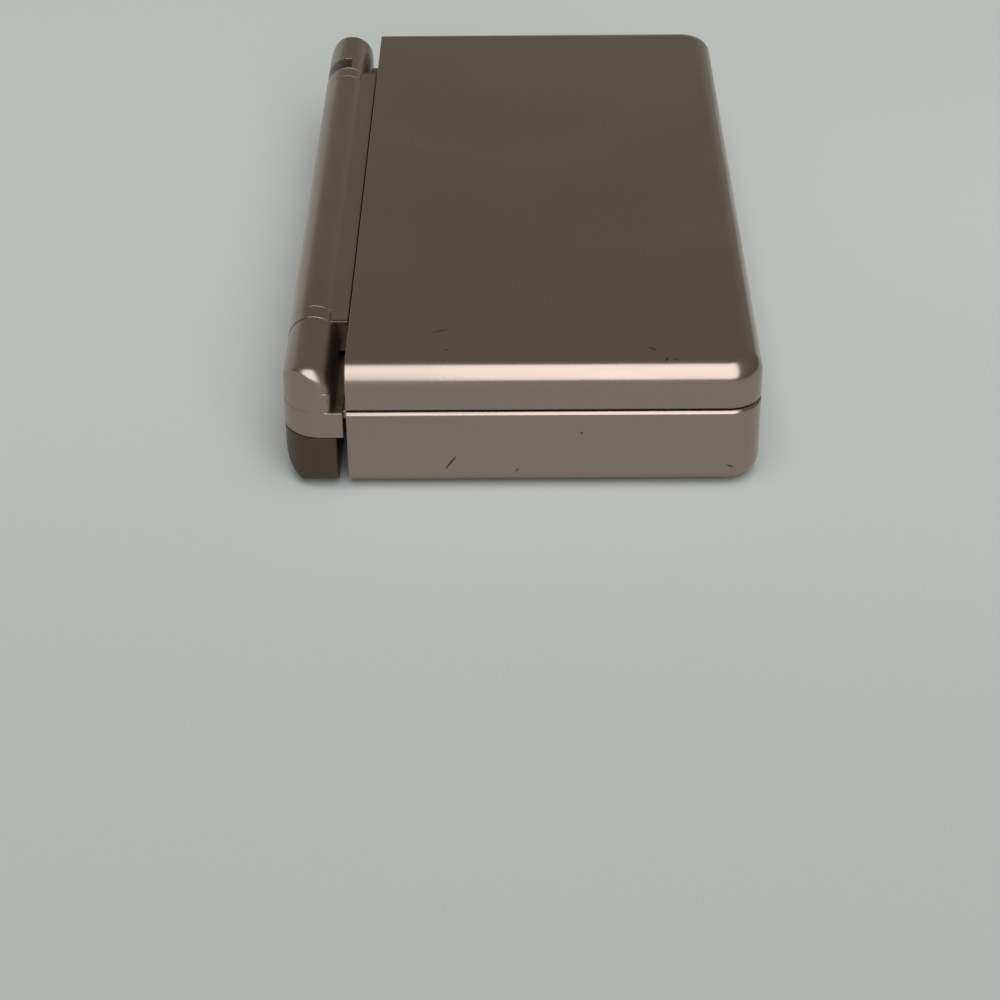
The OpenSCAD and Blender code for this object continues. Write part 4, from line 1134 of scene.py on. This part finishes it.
@dataclass
class Base(Assembly):
    """The lower half: its shell, covers, feet, boards and the sockets in its walls."""

    jack_at: Point = (45.0, -36.8, 6.1)
    jack_r: float = 1.8
    jack_collar: tuple[Pair, ...] = ((0.0, 0.0), (0.28, 0.0), (0.28, 0.9), (0.05, 0.9), (0.0, 0.6),
                                     (-0.06, 0.3))
    jack_turns: Point = (0.0, 2.1, 4.2)
    jack_leaf: tuple[Pair, ...] = ((0.0, 0.02), (1.2, 0.12), (2.4, 0.30), (3.2, 0.30), (4.2, 0.10))
    jack_leaf_start: float = 2.0
    card_leaves: tuple[float, float, int] = (-13.6, 1.7, 17)
    card_leaf: tuple[Pair, ...] = ((3.2, 6.62), (5.6, 6.45), (7.4, 6.12), (8.3, 6.05), (9.0, 6.22))
    port_at: Pair = (30.2, 5.3)
    tongue_half: Pair = (3.1, 0.55)
    tongue_y: Pair = (30.2, 34.2)
    port_leaves: tuple[float, float, int] = (-2.2, 1.1, 5)
    port_leaf: tuple[Pair, ...] = ((30.6, -0.58), (32.8, -0.62), (33.8, -0.60))
    hinge_at: Pair = (32.85, 17.0)
    lamp_r: float = 3.35
    lamp_turns: Pair = (0.5, 1.15)
    lamp_x: Pair = (51.2, 52.5)

    def build(self) -> None:
        """Dresses the CAD nodes and adds the contacts."""
        self.dress("bottom_case", like(Slot.SHELL, "base_shell_paint", scratches=BASE_SCRATCHES))
        # the deck's paint carries painted shade in the gap beside the knuckles
        self.dress("top_case", like(Slot.INNER, "deck_paint", grime=GAP_PAINTED_SHADE))
        self.dress_plain({
            Slot.SHELL: ("battery_cover",),
            Slot.SCREW: ("battery_cover_screw", "case_screws"),
            Slot.BATTERY: ("battery_pack",),
            Slot.RUBBER: ("rubber_feet",),
            Slot.BOARD: ("main_board",),
            Slot.MODULE: ("wireless_module",),
            Slot.DISPLAY: ("lower_display",),
            Slot.SCREEN: ("touch_panel",),
            Slot.BLACK: ("cartridge_guide", "cartridge_contacts", "charging_port", "headphone_jack"),
            Slot.SHEET: ("card_socket",),
            Slot.SILICONE: ("button_membrane",),
            Slot.PIN: ("shoulder_pins",),
            Slot.SMOKED: ("led_window",),
        })
        self.jack_contacts()
        self.card_contacts()
        self.port_contacts()
        self.indicator_lamps()

    def jack_contacts(self) -> None:
        """The headphone socket's turned collar and the sprung leaves inside it."""
        make = Maker("jack_collar_and_leaves")
        x, y, z = self.jack_at
        r = self.jack_r
        make.ring((x, y, z), "Y", [(r + step, height) for step, height in self.jack_collar])
        for turn in self.jack_turns:
            side, rise = math.sin(turn), math.cos(turn)
            make.leaf([(x + side * (r - inward), y + self.jack_leaf_start + run, z + rise * (r - inward))
                       for run, inward in self.jack_leaf], 0.7, 0.12)
        self.wardrobe.finish_piece(make.done(), "base", Slot.PIN)

    def card_contacts(self) -> None:
        """The sprung leaves on the roof of the game card's slot, near its inner end."""
        make = Maker("card_contact_leaves")
        make.leaf_row(*self.card_leaves, self.card_leaf, (0.85, 0.14))
        gold = like(Slot.PIN, "contact_gold", color=GOLD)
        self.wardrobe.finish_piece(make.done(), "base", Slot.PIN, gold)

    def port_contacts(self) -> None:
        """The charging socket's tongue with its row of contacts."""
        middle, height = self.port_at
        wide, high = self.tongue_half
        front, back = self.tongue_y
        make = Maker("charging_tongue")
        make.slab((middle - wide, front, height - high), (middle + wide, back, height + high), 0.18)
        self.wardrobe.finish_piece(make.done(), "base", Slot.BLACK)
        make = Maker("charging_contacts")
        first, pitch, count = self.port_leaves
        make.leaf_row(middle + first, pitch, count, [(y, height + z) for y, z in self.port_leaf],
                      (0.55, 0.1))
        gold = like(Slot.PIN, "charging_gold", color=GOLD)
        self.wardrobe.finish_piece(make.done(), "base", Slot.PIN, gold)

    def indicator_lamps(self) -> None:
        """Two small lamps under the smoked window on the right knuckle."""
        make = Maker("indicator_lamps")
        left, right = self.lamp_x
        for turn in self.lamp_turns:
            y = self.hinge_at[0] + self.lamp_r * math.cos(turn)
            z = self.hinge_at[1] + self.lamp_r * math.sin(turn)
            make.slab((left, y - 0.45, z - 0.3), (right, y + 0.45, z + 0.3), 0.2)
        pale = like(Slot.SILICONE, "lamp_lens", color=(0.50, 0.52, 0.44))
        self.wardrobe.finish_piece(make.done(), "base", Slot.SILICONE, pale)


@dataclass
class Controls(Assembly):
    """Everything pressed, slid or drawn out: caps, pad, shoulder buttons, switches, stylus."""

    def build(self) -> None:
        """Dresses each moving part."""
        self.dress_plain({
            Slot.BUTTON: ("button_a", "button_b", "button_x", "button_y", "start_button",
                          "select_button", "dpad"),
            Slot.TINTED: ("shoulder_left", "shoulder_right", "power_switch", "volume_slider", "stylus",
                          "slot_cover"),
            Slot.SILICONE: ("dpad_rubber",),
        })


@dataclass
class Hinge(Assembly):
    """The barrel: collars on the lid, the pin and the clutch inside them."""

    def build(self) -> None:
        """Dresses the barrel's parts."""
        self.dress_plain({Slot.COLLAR: ("hinge_collars",), Slot.PIN: ("hinge_pin", "hinge_clutch"),
                          Slot.RIBBON: ("display_cable",)})


@dataclass
class Lid(Assembly):
    """The upper half: its cover, inner frame, display, window, speakers and bumpers."""

    speaker_x: float = 50.0
    speaker_y: float = -4.98
    speaker_r: float = 6.4
    bezel_back: float = 16.4
    cloth_gap: float = 0.12
    cloth_t: float = 0.08
    cloth_hub: float = 0.02
    cloth_rings: int = 8

    def build(self) -> None:
        """Dresses the CAD nodes and adds the speakers' cloths."""
        self.dress("lid_cover", like(Slot.SHELL, "lid_shell_paint", scratches=LID_SCRATCHES))
        # the frame's paint carries painted shade in the gap beside the knuckles, and the black print behind
        # the window
        grime = (*GAP_PAINTED_SHADE, self.print_behind())
        self.dress("lid_frame", like(Slot.INNER, "lid_frame_paint", grime=grime))
        low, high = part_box("upper_display")
        middle = tuple((low + high) / 2)
        self.dress("upper_display", like(Slot.DISPLAY, "upper_display_panel", centre=middle))
        self.dress_plain({Slot.SCREEN: ("upper_window",), Slot.BLACK: ("speakers", "microphone"),
                          Slot.SCREW: ("lid_screws",), Slot.RUBBER: ("lid_bumpers",)})
        for side, label in ((-1, "left"), (1, "right")):
            self.speaker_cloth(side, label)

    def print_behind(self) -> ShadeAndPrintBox:
        """The black print that frames the display, seen through the upper window.

        Returns:
            The print, as a box round the window's back.
        """
        low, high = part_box("upper_window")
        middle, half = (low + high) / 2, (high - low) / 2
        return ShadeAndPrintBox((middle.x, middle.y, high.z + 0.00015), (half.x + 0.0003, half.y + 0.0003, 0.0007),
                     softness=0.0001, amount=0.97)

    def speaker_cloth(self, side: int, label: str) -> None:
        """A disc of acoustic cloth behind one speaker's holes, faintly rippled.

        Args:
            side: -1 on the left, 1 on the right.
            label: the side's word for the piece's name.
        """
        make = Maker("speaker_cloth_" + label)
        r, z = self.speaker_r, self.bezel_back - self.cloth_gap
        top = z + self.cloth_t
        rings = [(r * part / self.cloth_rings, z + 0.03 * math.cos(part))
                 for part in range(1, self.cloth_rings + 1)]
        make.ring((side * self.speaker_x, self.speaker_y, 0.0), "Z",
                  [(self.cloth_hub, z), *rings, (r, top), (self.cloth_hub, top)], 48)
        cloth = MeshCloth("speaker_cloth", (0.05, 0.048, 0.046), 0.8)
        self.wardrobe.finish_piece(make.done(), "lid", Slot.BLACK, cloth)


def main() -> None:
    """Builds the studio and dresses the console."""
    logging.basicConfig(level=logging.INFO, format="%(message)s")
    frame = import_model()
    Studio().build()
    wardrobe = Wardrobe(frame)
    for assembly in (Base(wardrobe), Controls(wardrobe), Hinge(wardrobe), Lid(wardrobe)):
        log.info("building %s", type(assembly).__name__)
        assembly.build()


if __name__ == "__main__":
    main()
